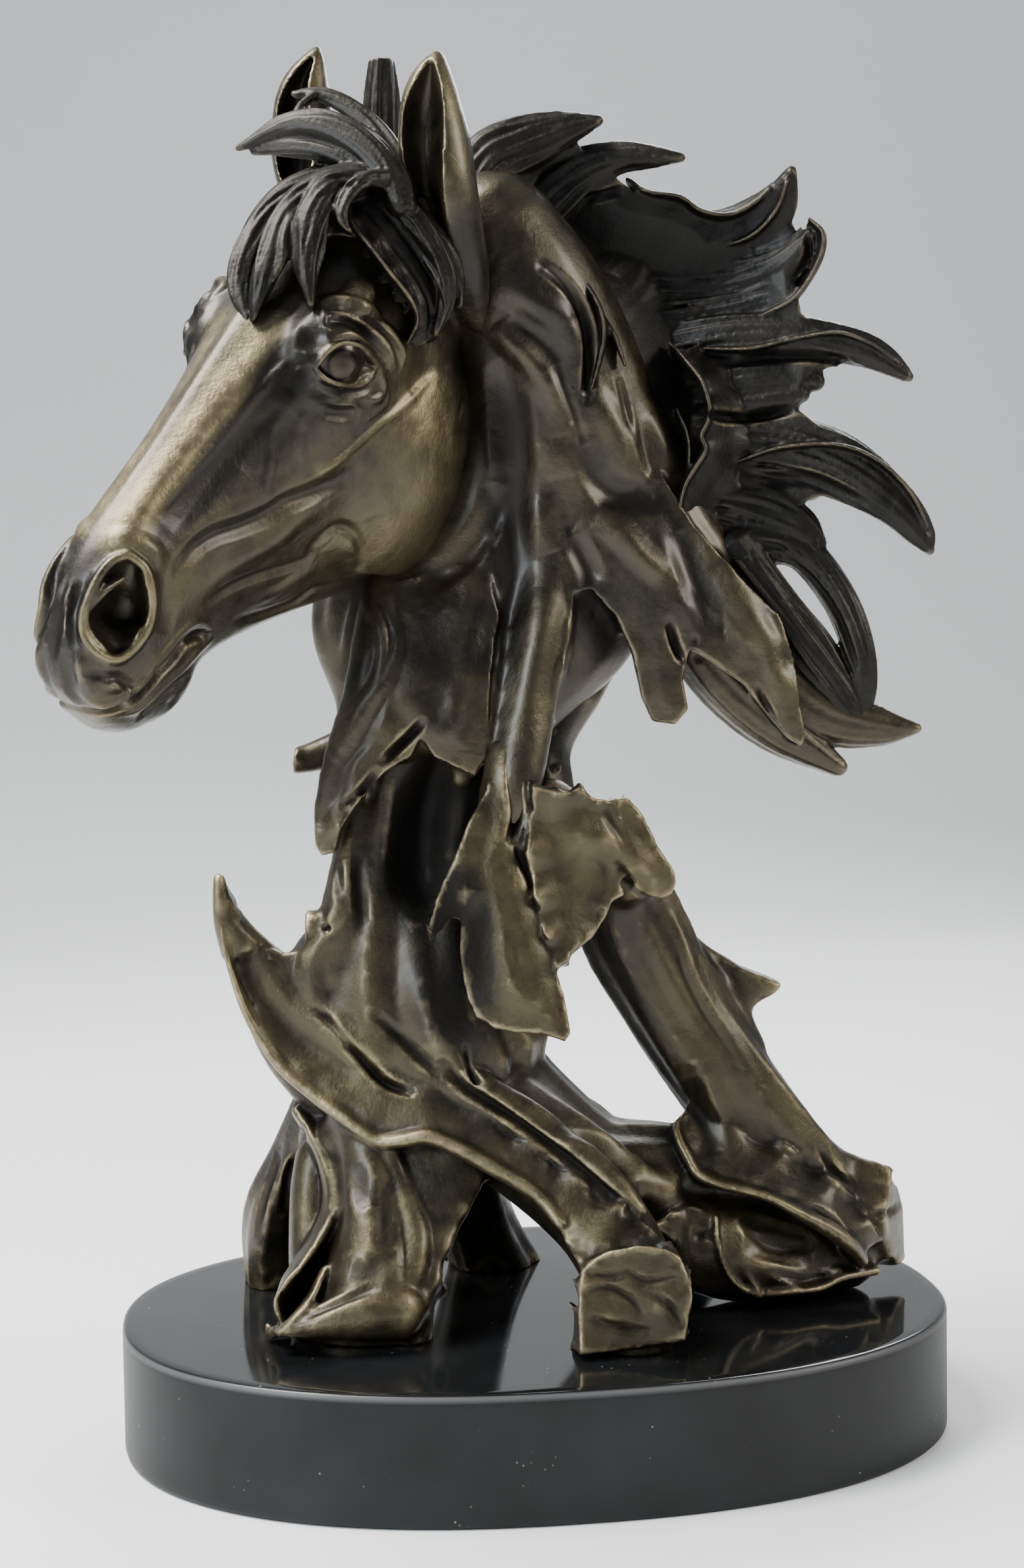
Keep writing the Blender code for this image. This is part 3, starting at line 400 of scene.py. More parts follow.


# Melts clay into one skin, works it with the strokes, thins it, paints it with numbers of painted light,
# shade and tone, and stands it on the plinth
def finishPiece(obj, laid, shape, mirrored=False):
    name = laid.name
    joined = joinMeshes("joined", [piece.data for piece in (obj, laid) if piece])
    for old in (obj, laid):
        if old:
            bpy.data.meshes.remove(old.data)
    joined.name = name
    fuse(joined, shape["voxel"] * coarser, shape["softness"])
    sculpt(joined, shape["strokes"], mirrored)
    settle = joined.modifiers.new("settle", "SMOOTH")
    settle.factor = 0.4
    settle.iterations = 1
    thin = joined.modifiers.new("thin", "DECIMATE")
    thin.ratio = min(1.0, mostTriangles / (2 * len(joined.data.polygons)))
    bakeModifiers(joined)
    joined.data.name = name
    paint(joined, shape["lightAndShadeTones"], mirrored)
    stand(joined)
    joined.data.shade_smooth()
    print("scene:", joined.name, sum(len(p.vertices) - 2 for p in joined.data.polygons), "triangles")
    return joined


# The broad masses of a piece, melted together before its finer forms are laid on them
def pieceMasses(name, layMasses, smoothSteps=9):
    clay = newClay()
    layMasses(clay)
    obj = clayObject(name, clay)
    fuse(obj, massVoxel, smoothSteps)
    return obj


# sections: along the face, top, bottom, then half widths at the levels from the bridge down to the jaw
# bumps: a place along, up and sideways on the head, and three radii
# rolls, such as the ears and all hollows: x, z and back on the drawing, then half width and half depth
# folds: a path on the drawing with its widths, the radius, and the share of it that is sunk in the skin
# strokes: a path on the drawing, the tool's radius and how far it raises the skin
# tones: a path on the drawing, its reach and how much lighter the bronze is painted there; most are painted
# light and shade, lighter where light falls and darker in shade, some are the bronze's own tone
horseHead = {
    "voxel": 0.55,
    "softness": 2,
    "levels": (0.0, 0.05, 0.14, 0.27, 0.52, 0.78, 0.95, 1.0),
    "sections": [(-12, 2, -34, 8, 11, 14, 15, 12, 8), (6, 12, -54, 12, 17, 20, 21, 18, 10),
        (26, 18, -74, 15, 22, 26, 24, 21, 12), (46, 20, -85, 16, 24.5, 27, 25, 22, 12),
        (64, 19.5, -86, 14, 22.5, 25.5, 25, 22, 11), (84, 18, -78, 11, 16.5, 21, 22, 17, 8),
        (104, 16.5, -64, 9, 13, 16.5, 18.5, 12, 7), (124, 15.5, -51, 8.5, 11.5, 14, 15.5, 10, 6),
        (140, 14.5, -42, 9, 12.5, 15, 15, 11.5, 8), (152, 12.5, -41, 9, 13, 16, 15.5, 12, 9),
        (163, 8, -40, 8, 11.5, 14.5, 14.5, 11.5, 8), (172, 1, -35, 6, 9, 12, 12.5, 9.5, 6),
        (177, -8, -27, 4, 5.5, 7, 8, 6, 3)],
    "bumps": [((50, -50, 16), (36, 35, 12)), ((57, 2, 19), (16, 13, 10)), ((46, 7, 20), (14, 5, 8)),
        ((62, -20, 20), (24, 9, 5)), ((150, 1, 8), (13, 10, 8)), ((162, -18, 7), (10, 9, 7)),
        ((153, -35, 3), (14, 7, 8))],
    "ears": {
        "near": [(-14, 328, -12, 4, 8), (-17, 341, -25, 7.5, 9.5), (-20.3, 354, -33, 9.3, 10),
            (-23, 366, -38, 10.4, 10), (-25, 377, -39, 11, 10), (-26, 388, -40, 9.4, 8.5),
            (-25.4, 396, -40, 7, 6.5), (-24, 402, -40, 3.6, 4), (-23.4, 405, -40, 1.2, 1.6)],
        "far": [(-57, 356, -12, 8, 10), (-62.5, 370, -8, 9.4, 9.5), (-63.6, 381, -6, 9.2, 9),
            (-63, 391, -6, 8.4, 7), (-61.4, 398, -6, 6.2, 5.4), (-59, 404, -6, 2.8, 3),
            (-57.6, 407, -6, 1.2, 1.4)],
    },
    "eyeball": {"x": -49.2, "z": 314.3, "radius": 10.4, "sunk": 9.4, "irisX": -52.8, "irisZ": 314.2},
    "folds": {
        "upper_lid": ([(-61, 313.6, 0.5), (-57.5, 318.6), (-53.3, 320.9), (-49.5, 320.6), (-46.2, 318.4),
            (-43.6, 315.2), (-40, 311.6, 0.4)], 1.15, 0.1),
        "second_fold": ([(-57.5, 321, 0.4), (-53, 323.2), (-48.7, 323), (-44.8, 320.4), (-41, 317),
            (-38.2, 312.6, 0.5)], 0.95, 0.25),
        "third_fold": ([(-56, 329.6, 0.5), (-51.8, 328.6), (-48, 326.7), (-44.4, 324.2), (-41.4, 321.4),
            (-39, 317.8), (-37.4, 313.6, 0.5)], 1.25, 0.15),
        "fourth_fold": ([(-53, 330.8, 0.5), (-47.2, 329.6), (-43.3, 327), (-39.4, 324.2), (-36.8, 321),
            (-35.4, 317.3), (-35.4, 313.8, 0.4)], 1.6, 0.2),
        "brow": ([(-61.5, 329.5, 0.5), (-58.4, 332.6), (-54, 333.4), (-50, 332.6), (-45.6, 330.8),
            (-41.5, 328, 0.5)], 2.4, 0.35),
        "brow_end": ([(-59, 332, 0.9), (-58, 327), (-57.6, 321.5, 0.4)], 1.6, 0.35),
        "lower_lid": ([(-61, 313.4, 0.5), (-58.2, 310.4), (-55.3, 309), (-51, 308.3), (-47.4, 308.7),
            (-45, 310.6), (-43.2, 314, 0.5)], 0.95, 0.1),
        "outer_roll": ([(-42.4, 313, 0.5), (-41.2, 309.4), (-41.4, 306.2), (-43.4, 304.2),
            (-46.5, 304.4, 0.5)], 1.5, 0.35),
        "under_fold": ([(-61, 304.4, 0.4), (-55, 303), (-50.4, 302.9), (-47.2, 300.4, 0.5)], 1.1, 0.4),
        "orbit_edge": ([(-39.6, 309, 0.4), (-40.2, 303.5), (-44, 300), (-48.6, 297, 0.4)], 1.0, 0.5),
        "crest": ([(-21, 315.5, 0.3), (-26.4, 310.6, 0.7), (-32, 305), (-38.2, 300), (-42, 297.4),
            (-46, 294), (-50.6, 290), (-56, 285.6), (-63, 281.6, 0.8), (-71, 277.6, 0.3)], 2.0, 0.6),
        "bridge_edge": ([(-68, 318, 0.4), (-78, 306), (-90, 292), (-102, 279),
            (-114, 266.5, 0.4)], 2.3, 0.72),
        "upper_lip": ([(-92.6, 239, 0.5), (-97.6, 239.8), (-102, 237), (-106.3, 232), (-110.3, 227.7),
            (-113.2, 223.3), (-117, 219.6), (-120, 217.6), (-123.8, 216), (-127.4, 216),
            (-131, 218.6, 0.5)], 1.7, 0.5),
        "lower_lip": ([(-92.8, 234.4, 0.6), (-97.4, 231), (-101.7, 226.4), (-106.5, 222), (-110.8, 218),
            (-116, 214), (-121, 212.4, 0.6)], 1.7, 0.5),
        "lip_lobe": ([(-127, 221.8, 0.4), (-122.4, 221.2), (-118.4, 218.8, 0.4)], 2.2, 0.5),
        "nose_ridge": ([(-131, 258, 0.3), (-134.6, 250), (-136.6, 241), (-135.4, 232, 0.3)], 1.5, 0.6),
    },
    "nostrilRim": [(-117, 260), (-112.2, 256), (-110.4, 250), (-110.2, 244), (-111.8, 238), (-115.8, 232.4),
        (-121, 229), (-126.5, 230.8), (-130.4, 235.5), (-131.2, 241), (-129.2, 247.5), (-126, 253.5),
        (-122, 258), (-117, 260)],
    "nostrilRimSize": 1.35,
    "nostrilFlapSize": 1.5,
    "eyeSlitSize": 5.4,
    "nostrilFlap": [(-130, 243, -93, 0.7), (-125.5, 248.8, -92, 1.0), (-118.6, 253, -87, 0.5)],
    "hollows": {
        "near_ear": [(-26, 402.5, -47, 1.4, 5), (-27, 396, -48, 4, 9), (-28.4, 388, -48, 6, 12),
            (-28.8, 378, -48, 6.2, 13), (-28, 368, -46, 5.2, 12), (-26, 358, -44, 3.7, 10),
            (-22, 345, -41, 1.6, 5)],
        "far_ear": [(-60.6, 403.5, -11, 0.9, 5), (-64.2, 397, -12, 2.8, 8), (-66.3, 390, -13, 4.5, 11),
            (-66.2, 381, -14, 5.4, 12), (-65.8, 372, -14, 5.2, 10), (-65, 364, -15, 2.5, 6)],
        "nostril": [(-116.5, 257.2, -90, 3.4, 6), (-118.6, 250, -92, 7.2, 13), (-120.8, 240, -93, 8.4, 14),
            (-120.4, 233, -92, 4.4, 7)],
    },
    "eyeSlit": [(-61, 313.8, 0.15), (-57.6, 314.6, 0.85), (-52.6, 314.8, 1.06), (-48, 314.4, 0.95),
        (-43.6, 313.8, 0.15)],
    "strokes": {
        "tear_duct": ([(-61, 313), (-65, 310.5), (-70, 306)], 3.2, -1.4),
        "socket_shadow": ([(-57, 327), (-52, 327), (-48, 324.9), (-44.5, 321.9), (-41.5, 318.6),
            (-40, 315)], 2.4, -2.2),
        "fold_gap": ([(-50, 329), (-45.5, 327.4), (-41.5, 324.4), (-38.5, 320.5), (-37, 316)], 1.2, -0.8),
        "lid_gap": ([(-57.5, 320), (-53, 322), (-48.5, 321.6), (-44.5, 319), (-41.5, 315.4)], 1.0, -0.7),
        "under_lid": ([(-60, 309.4), (-55.5, 307), (-50.3, 306.4), (-46.5, 307.2),
            (-43.9, 309.6)], 1.9, -1.2),
        "under_hollow": ([(-59, 301), (-54, 300.2), (-50, 300.2)], 3.0, -1.0),
        "corner_front": ([(-63, 318), (-62, 322), (-61, 326)], 5.5, -2.2),
        "above_brow": ([(-64, 330), (-58, 337), (-50, 338), (-43, 335)], 7, -0.6),
        "temple": ([(-31, 322), (-29, 314), (-34, 306)], 8, -1.2),
        "bridge_side": ([(-74, 306), (-88, 289), (-106, 267)], 7, -1.8),
        "bridge_edge": ([(-82, 316), (-98, 295), (-112, 276), (-124, 262)], 6, 0.5),
        "cheek_plane": ([(-66, 300), (-74, 292), (-82, 282)], 12, -1.0),
        "cheek_line": ([(-70, 304), (-76, 298), (-82, 292), (-88, 286.5)], 2.4, -0.4),
        "vein_one": ([(-72.6, 300), (-73.8, 293), (-74.4, 284), (-77, 278)], 2.4, 0.6),
        "vein_two": ([(-76, 303), (-84, 295), (-94, 283), (-103, 270)], 3.0, 0.5),
        "vein_three": ([(-64, 302), (-66, 294), (-66, 286)], 2.8, 0.5),
        "crest_under": ([(-50.8, 281.7), (-56.8, 279.7), (-63.5, 276.8), (-70.2, 274.6), (-76.3, 270.7),
            (-84.4, 267.5), (-91, 265.6), (-96.5, 262.3), (-100.7, 257), (-102, 250)], 4.0, -1.7),
        "crest_over": ([(-60, 284), (-70, 279), (-84, 272.6), (-96, 267), (-104, 262)], 5.0, 0.6),
        "cheek_muscle": ([(-59, 274), (-67, 269.7), (-71.2, 265.8), (-76.6, 261.8), (-82, 259),
            (-90, 254)], 5, 1.2),
        "muscle_gap": ([(-58, 266), (-62.6, 261.7), (-64.7, 257.7), (-71.4, 255.4), (-78, 253.6),
            (-86, 250.6), (-94, 246)], 3.0, -1.3),
        "lobe": ([(-57.5, 263.5), (-55, 261), (-54, 257.5)], 7, 1.2),
        "lobe_edge": ([(-61, 259), (-59.6, 264.5), (-55, 267.4), (-50.4, 264.6), (-48.6, 259),
            (-50.4, 254)], 2.6, -0.9),
        "lower_muscle": ([(-60, 256), (-68, 252), (-74, 248.4), (-82, 245)], 3.6, 0.9),
        "jaw_streak": ([(-64.8, 252), (-70.2, 248.5), (-75, 245.6)], 1.8, 0.5),
        "jaw_line": ([(-50, 252.5), (-57, 250.6), (-62.2, 249.4), (-68, 245.6), (-76, 242.6),
            (-86, 240)], 2.6, -1.0),
        "jowl_fade": ([(-46, 270), (-45, 262), (-43, 254)], 7, -1.0),
        "ear_crease": ([(-17, 308), (-18, 303), (-19.4, 299)], 2.0, -0.6),
        "jowl_plane": ([(-34, 292), (-28, 280), (-32, 268)], 14, 1.0),
        "nostril_wall": ([(-104, 262), (-105.6, 252), (-106.6, 243), (-108, 236)], 5.5, -1.4),
        "nostril_top": ([(-123, 264.5), (-116, 264.5), (-109, 260.5), (-105, 255)], 4, 0.9),
        "mouth": ([(-93.6, 236), (-98, 235.8), (-100.5, 234), (-104.4, 228.7), (-108.3, 225),
            (-111.2, 221.6), (-116, 217), (-119.3, 215.4), (-123.6, 213.9), (-129.2, 213.6),
            (-134, 215)], 2.0, -2.4),
        "mouth_hole": ([(-94.4, 235.8), (-97.4, 235.6), (-100.2, 234.2)], 2.4, -2.6),
        "chin_crease": ([(-96.4, 227), (-101, 223.8), (-106.6, 219.7), (-111, 215.8),
            (-115, 212.2)], 2.4, -1.2),
        "lip_crease": ([(-130, 225.4), (-125, 224.2), (-120.5, 223.4), (-117.4, 221),
            (-116.4, 218)], 2.0, -1.0),
        "muzzle_fold": ([(-136.4, 233), (-136, 226), (-134.6, 219), (-131.4, 215.6)], 3.2, -1.3),
        "muzzle_ridge": ([(-133, 231), (-131.6, 224.6), (-128.6, 219)], 2.8, 0.8),
        "rim_groove": ([(-129.6, 253), (-133, 246), (-134, 238), (-132.6, 230.6)], 2.6, -1.2),
        "front_fold": ([(-138, 262), (-139.4, 252), (-140, 242), (-139.6, 231), (-138, 223)], 3.2, -0.8),
        "front_ridge": ([(-136.4, 263), (-136.6, 254)], 2.4, 0.6),
        "chin_dimple": ([(-103, 218), (-107, 214.5)], 3.2, -0.7),
    },
    # Mostly painted light and shade: the bridge, the crest and the jowl are lighter where the light falls;
    # beside the bridge, the forehead, the socket, the chin and the ear's base are darker for their shade; the
    # ear and nostril rims are rubbed lighter
    "lightAndShadeTones": {
        "bridge": ([(-74, 326), (-88, 307), (-104, 286), (-119, 266)], 8, 1.3),
        "bridge_side": ([(-70, 312), (-88, 290), (-106, 268)], 8, -0.5),
        "forehead": ([(-66, 338), (-70, 322), (-72, 308)], 12, -0.7),
        "above_brow": ([(-56, 344), (-48, 342), (-42, 338)], 9, -0.8),
        "jowl": ([(-30, 300), (-26, 282), (-34, 266), (-46, 262)], 24, 0.7),
        "jowl_top": ([(-34, 306), (-28, 302), (-24, 296)], 9, 0.4),
        "cheek": ([(-66, 302), (-80, 286), (-92, 272)], 16, -0.3),
        "under_eye": ([(-44, 300), (-54, 302), (-64, 308)], 8, -0.35),
        "socket": ([(-62, 322), (-54, 328), (-44, 322)], 7, -0.6),
        "eye_side": ([(-66, 318), (-68, 310)], 7, -0.6),
        "ear_edge": ([(-24, 403), (-19, 390), (-17, 372)], 5, 0.5),
        "ear_base": ([(-17, 352), (-15, 336), (-16, 320)], 9, -0.9),
        "ear_back": ([(-17, 380), (-16, 362)], 8, -0.3),
        "nostril_rim": ([(-112, 256), (-110, 246), (-113, 235), (-122, 229), (-130, 236),
            (-131, 243)], 3, 0.8),
        "muzzle": ([(-118, 222), (-110, 226), (-102, 236)], 6, 0.3),
        "muzzle_front": ([(-136, 258), (-137, 240), (-134, 222)], 8, -0.5),
        "nose_end": ([(-124, 266), (-132, 258)], 7, -0.3),
        "chin": ([(-100, 222), (-112, 211), (-124, 208)], 8, -0.5),
        "jaw": ([(-60, 252), (-76, 244), (-90, 240)], 6, 0.1),
        "crest": ([(-26, 311), (-38, 300), (-50, 289), (-60, 283)], 2.6, 0.7),
    },
}


def ball(clay, centre, radii):
    bm = bmesh.new()
    turn = Matrix([axis * size for axis, size in zip(headAxes, radii)]).transposed().to_4x4()
    bmesh.ops.create_uvsphere(bm, u_segments=16, v_segments=10, radius=1.0,
                              matrix=Matrix.Translation(centre) @ turn)
    lay(clay, bm)


def layHead(clay):
    sections = horseHead["sections"]
    bm = bmesh.new()
    rings = []
    count = 4 * (len(sections) - 1) + 1
    for i in range(count):
        along, top, bottom, *widths = curveAt(sections, i / (count - 1))
        half = np.array([0.0, *widths, 0.0])
        made = bmesh.ops.create_circle(bm, segments=40, radius=1.0)["verts"]
        for vert in made:
            down = math.acos(max(-1.0, min(1.0, vert.co.y))) / math.pi
            share = math.sin(down * math.pi / 2) ** 2
            side = np.interp(share, horseHead["levels"], half)
            vert.co = onHead(along, top + (bottom - top) * share, math.copysign(side, vert.co.x))
        rings.append(ringOf(made))
    skinRings(bm, rings)
    lay(clay, bm)
    for (along, up, side), radii in horseHead["bumps"]:
        for way in (1, -1):
            ball(clay, onHead(along, up, side * way), radii)
    layRolls(clay, horseHead["ears"], steps=5, sides=24)


# The ball of the near eye, sunk in the skin, and where its iris is; the far one is its mirror image
def eyePlaces(tree):
    eyeball = horseHead["eyeball"]
    hit, normal = onSkin(tree, eyeball["x"], eyeball["z"])
    centre = hit - normal * eyeball["sunk"]
    ray = (seen(eyeball["irisX"], eyeball["irisZ"], 0) - eye).normalized()
    nearest = (centre - eye).dot(ray)
    missed = (eye + ray * nearest - centre).length
    return centre, eye + ray * (nearest - math.sqrt(max(0.0, eyeball["radius"] ** 2 - missed**2)))


def layFace(clay, tree):
    for path, radius, sunk in horseHead["folds"].values():
        bead(clay, tree, path, radius, sunk)
    bead(clay, tree, horseHead["nostrilRim"], horseHead["nostrilRimSize"], sunk=0.1, flat=1.2)
    flap = [(*seen(x, z, back), width) for x, z, back, width in horseHead["nostrilFlap"]]
    layRope(clay, flap, horseHead["nostrilFlapSize"])


def openFace(obj, tree):
    opening = newClay()
    bead(opening, tree, horseHead["eyeSlit"], horseHead["eyeSlitSize"], sunk=0.0)
    hollowOut(obj, horseHead["hollows"], mirrored=("nostril",), cutters=[clayObject("eye_cutter", opening)])


def buildHead():
    masses = pieceMasses("head_masses", layHead)
    tree = skinTree(masses)
    face = newClay()
    layFace(face, tree)
    near = eyePlaces(tree)
    openFace(masses, tree)
    return finishPiece(masses, clayObject("bronze_head", face), horseHead, mirrored=True), near


# The neck is one swollen body with flat sheets of muscle over it, torn along their lower edges
# sheets: outlines of x, z and back on the drawing
neck = {
    "voxel": 0.65,
    "softness": 3,
    "sheetThickness": 5,
    "underThickness": 7,
    "sheetHollow": -3.4,
    "masses": {
        "body": [(-10, 356, -8, 18, 17), (0, 334, -2, 24, 21), (6, 312, 6, 29, 24), (8, 290, 10, 34, 25),
            (4, 268, 12, 42, 24), (-8, 247, 11, 43, 23), (-18, 228, 8, 37, 22), (-25, 210, 5, 31, 20)],
        "crest": [(-8, 350, -6, 12, 13), (8, 326, 2, 15, 17), (22, 300, 8, 17, 17), (36, 274, 10, 17, 14),
            (50, 252, 11, 14, 11), (64, 230, 9, 10, 8), (76, 210, 8, 6, 5)],
        "near_band": [(4, 330, -9, 7, 6), (6, 306, -5, 8, 6), (8, 282, -4, 9, 7), (7, 258, -5, 9, 7),
            (4, 236, -10, 9, 7), (0, 216, -13, 9, 7), (-2, 201, -17, 8.4, 7), (-4, 187, -20.5, 7.5, 6),
            (-4.5, 172, -18, 6, 4)],
        "near_fold": [(-34, 268, 8, 6, 6), (-41, 243, -7, 9, 7), (-46, 218, -14, 9, 6),
            (-53, 198, -15, 8.5, 5), (-59, 183, -15, 5.5, 4), (-61.5, 172, -14, 2.5, 3)],
        "far_fold": [(-50, 262, 14, 9, 9), (-56, 238, 14, 8, 9), (-51, 216, 12, 6, 8), (-53, 204, 8, 5, 6)],
        "chest_fold": [(-20, 266, 8, 9, 7), (-25, 240, -6, 10, 7), (-28, 214, -13, 9, 5),
            (-38, 200, -14, 5, 4)],
        "inner_fold": [(-10, 270, 6, 6, 6), (-13, 240, -8, 8, 7), (-17, 208, -14, 7, 5),
            (-20, 192, -13, 4, 4)],
        "rear_fold": [(14, 300, 24, 10, 8), (6, 266, 30, 11, 8), (0, 234, 27, 9, 6), (-4, 208, 22, 7, 5),
            (-6, 190, 21, 3, 3)],
        "rear_fold_two": [(-20, 290, 20, 9, 8), (-26, 256, 28, 10, 8), (-30, 226, 24, 8, 6),
            (-32, 202, 20, 6, 4), (-31, 182, 19, 2.4, 3)],
        "rear_fold_three": [(34, 290, 20, 9, 7), (30, 262, 25, 9, 7), (22, 238, 20, 7, 6),
            (16, 220, 15, 3, 3)],
    },
    "sheets": {
        "neck": [(4, 322, 10), (20, 308, 7), (36, 288, 2), (50, 266, -2), (62, 252, -2), (75, 239, 0),
            (79, 226, 1), (80.5, 213, 0), (82, 204, 0), (81, 200.5, 0), (77, 203, -1), (71, 210, -2),
            (64, 219, -3), (55, 225.5, -4), (48, 230, -4), (46, 221, -4), (47.5, 212, -4),
            (43.5, 207.5, -4), (36.5, 208.5, -4), (33.5, 216, -5), (31, 229, -6), (26, 240, -6),
            (19, 248, -7), (14, 247, -8), (12, 236, -10), (10, 224, -12), (7, 210, -12), (2, 206, -12),
            (-2, 240, -6), (-6, 270, 4), (-6, 300, 8)],
        "throat": [(-42, 250, -6), (-28, 254, -4), (-12, 260, -4), (-8, 240, -10), (-11, 222, -14),
            (-12, 207, -15), (-13, 198, -15), (-16, 193, -15), (-22, 196, -16), (-28, 199, -16),
            (-32, 205, -16), (-35, 199, -16), (-41, 196, -17), (-46, 192, -17), (-50, 187, -18),
            (-56, 178.5, -18), (-58, 171, -16), (-62, 170, -15), (-64, 174, -14), (-63.5, 182, -12),
            (-60, 190, -12), (-56.5, 204, -12), (-52, 220, -12), (-47, 240, -8)],
    },
    "below": {
        "under_lock": [(44, 238, 8, 8, 8), (58, 220, 9, 9, 8), (74, 206, 8, 8, 7), (92, 194, 5, 3, 3)],
        "end_lock": [(72, 222, 8, 8, 7), (88, 210, 8, 9, 6), (104, 206, 7, 6, 4), (115, 205.5, 6, 1.8, 2.5)],
        "spur": [(-50, 204, 5, 6, 6), (-64, 199.5, 2, 4.4, 4), (-69.5, 198.5, 0, 4, 3.8)],
    },
    "strokes": {
        "crest_top": ([(-9, 343), (0, 338.5), (9, 333), (14, 326)], 10, 1.2),
        "ridge_one": ([(-9.4, 337.5), (-1, 333.4), (5.2, 330.2), (11, 326.6), (14.6, 320), (15.8, 312),
            (16.4, 305)], 5.5, 1.4),
        "crest_gap": ([(6, 342), (13.5, 335.6), (18, 327.6), (19.4, 319), (19, 309), (18.4, 304)], 3.0, -3.4),
        "oval_hollow": ([(-4, 328), (1, 324), (5.6, 319.6), (9, 313)], 5.5, -1.8),
        "thin_one": ([(9, 314), (12, 306), (14.6, 299), (17.4, 290)], 2.6, -1.0),
        "ridge_two": ([(-8.7, 326), (-5.2, 321.4), (0.2, 317.2), (5.6, 311.5), (9.4, 304),
            (12.6, 296)], 6.0, 1.8),
        "jowl_shadow": ([(-9, 316), (-5.5, 309), (-3.8, 297), (-3.8, 275), (-4.6, 255), (-6.4, 238),
            (-11, 226)], 8, -2.4),
        "jowl_bottom": ([(-8, 280), (-11, 268), (-20, 257), (-32, 250)], 6, -2.4),
        "ridge_three": ([(19.8, 306), (23.4, 300.5), (27.2, 293), (29.6, 285.5), (33, 278)], 5.6, 1.5),
        "thin_three": ([(27.7, 310), (29.8, 302), (31, 294)], 2.2, -0.9),
        "ridge_four": ([(31, 298), (32.2, 289.3), (34.8, 281), (39, 277)], 3.8, 1.0),
        "shoulder": ([(37, 300), (41, 290), (42, 282)], 7, 1.0),
        "shadow_valley": ([(17.8, 291), (22, 280), (28, 275.5), (39, 274)], 6.5, -2.4),
        "left_lobe": ([(3, 276), (5.4, 266), (8, 258)], 8, 1.8),
        "right_ridge": ([(20, 269.4), (28.3, 263.8), (34, 257.3), (41, 251.6)], 6, 2.0),
        "centre_soft": ([(8, 292), (10, 280)], 9, 1.0),
        "arch_notch": ([(13, 264), (17.5, 256), (19.4, 249)], 5, -2.2),
        "ridge_five": ([(46, 277), (51.3, 267.3), (56.7, 259), (60.5, 248.6), (66, 240), (71, 231),
            (75, 220), (78, 209)], 6, 1.7),
        "valley_five": ([(44.8, 265.6), (48.3, 255.4), (52, 244), (58, 233)], 6.5, -2.4),
        "thin_five": ([(57.4, 242), (58, 231)], 1.6, -0.6),
        "band_ridge": ([(6, 249), (4, 236), (1, 222), (-1, 208)], 6, 1.4),
        "band_edge": ([(14.6, 246), (12.6, 238), (10.6, 229), (8.4, 220), (7.4, 212)], 2.4, 1.0),
        "behind_jowl": ([(-9.6, 292), (-7.6, 276), (-6.6, 262), (-6.2, 250), (-8.4, 237)], 3.4, 1.3),
        "throat_rope": ([(-46.7, 245), (-42.2, 234), (-44, 222), (-50.6, 212), (-57, 200)], 3.4, 1.2),
        "throat_rope_two": ([(-42.4, 246), (-38.8, 236), (-40, 225), (-46.4, 214), (-54, 202)], 3.0, 1.0),
        "throat_gap": ([(-44.4, 246), (-40.6, 235.4), (-42, 223.6), (-48.6, 212.8)], 1.8, -1.0),
        "throat_hollow": ([(-32, 243), (-27, 230), (-25, 218)], 10, -1.2),
        "throat_vee": ([(-36, 217), (-30, 209), (-25, 203)], 5, 0.7),
        "throat_vee_two": ([(-19, 222), (-22, 212), (-26, 203)], 5, 0.7),
        "throat_vee_gap": ([(-28, 221), (-25.6, 213)], 5, -0.6),
        "tear_one": ([(41.8, 238), (43.8, 231), (46, 226)], 2.0, -2.6),
        "tear_two": ([(49.6, 232.5), (50.4, 227)], 2.0, -2.2),
        "tear_three": ([(67.6, 218.5), (69.8, 213.6), (73, 208)], 1.6, -1.6),
        "crack_low": ([(-31.2, 209.5), (-35, 205.5), (-39.2, 201.5), (-43, 198)], 2.0, -3.0),
        "crack_lower": ([(-45, 195), (-49, 190), (-55, 185)], 2.0, -2.4),
        "cave_crack": ([(19.6, 247), (19.8, 240)], 1.2, -1.0),
    },
    # Mostly painted light and shade: darker behind the jowl, at the top, in the valley, the throat, the chest
    # and the arch, and lighter on the lit ridge, fold and hem
    "lightAndShadeTones": {
        "behind_jowl": ([(-6, 300), (-5, 275), (-6, 250), (-11, 228)], 10, -1.0),
        "top": ([(2, 340), (12, 322), (16, 305)], 8, -0.4),
        "valley": ([(18, 288), (28, 276), (40, 270), (50, 246)], 7, -0.5),
        "ridge": ([(50, 268), (60, 250), (70, 232), (78, 212)], 6, 0.5),
        "fold": ([(22, 268), (34, 258), (42, 250)], 6, 0.3),
        "throat": ([(-46, 236), (-52, 212), (-58, 190)], 7, -0.3),
        "chest": ([(-30, 246), (-28, 228), (-26, 212)], 12, -0.4),
        "hem": ([(10, 250), (8, 222), (0, 206)], 6, 0.25),
        "arch": ([(18, 244), (23, 234), (28, 224)], 9, -1.7),
    },
}


def layNeck(clay):
    layRolls(clay, neck["masses"], sides=18)
    for outline in neck["sheets"].values():
        plate(clay, outline, neck["underThickness"], hollow=neck["sheetHollow"], sunk=-4.4)


def layNeckSheets(clay):
    for name, stations in neck["below"].items():
        isSpur = name == "spur"
        roll(clay, stations, sides=30, flutes=0 if isSpur else 6, fluteDepth=0.05,
             cut=(-1, 0, 0.1) if isSpur else None)
    for outline in neck["sheets"].values():
        plate(clay, outline, neck["sheetThickness"], hollow=neck["sheetHollow"], sunk=-5)


def buildNeck():
    masses = pieceMasses("neck_masses", layNeck)
    sheets = newClay()
    layNeckSheets(sheets)
    return finishPiece(masses, clayObject("bronze_neck", sheets), neck)


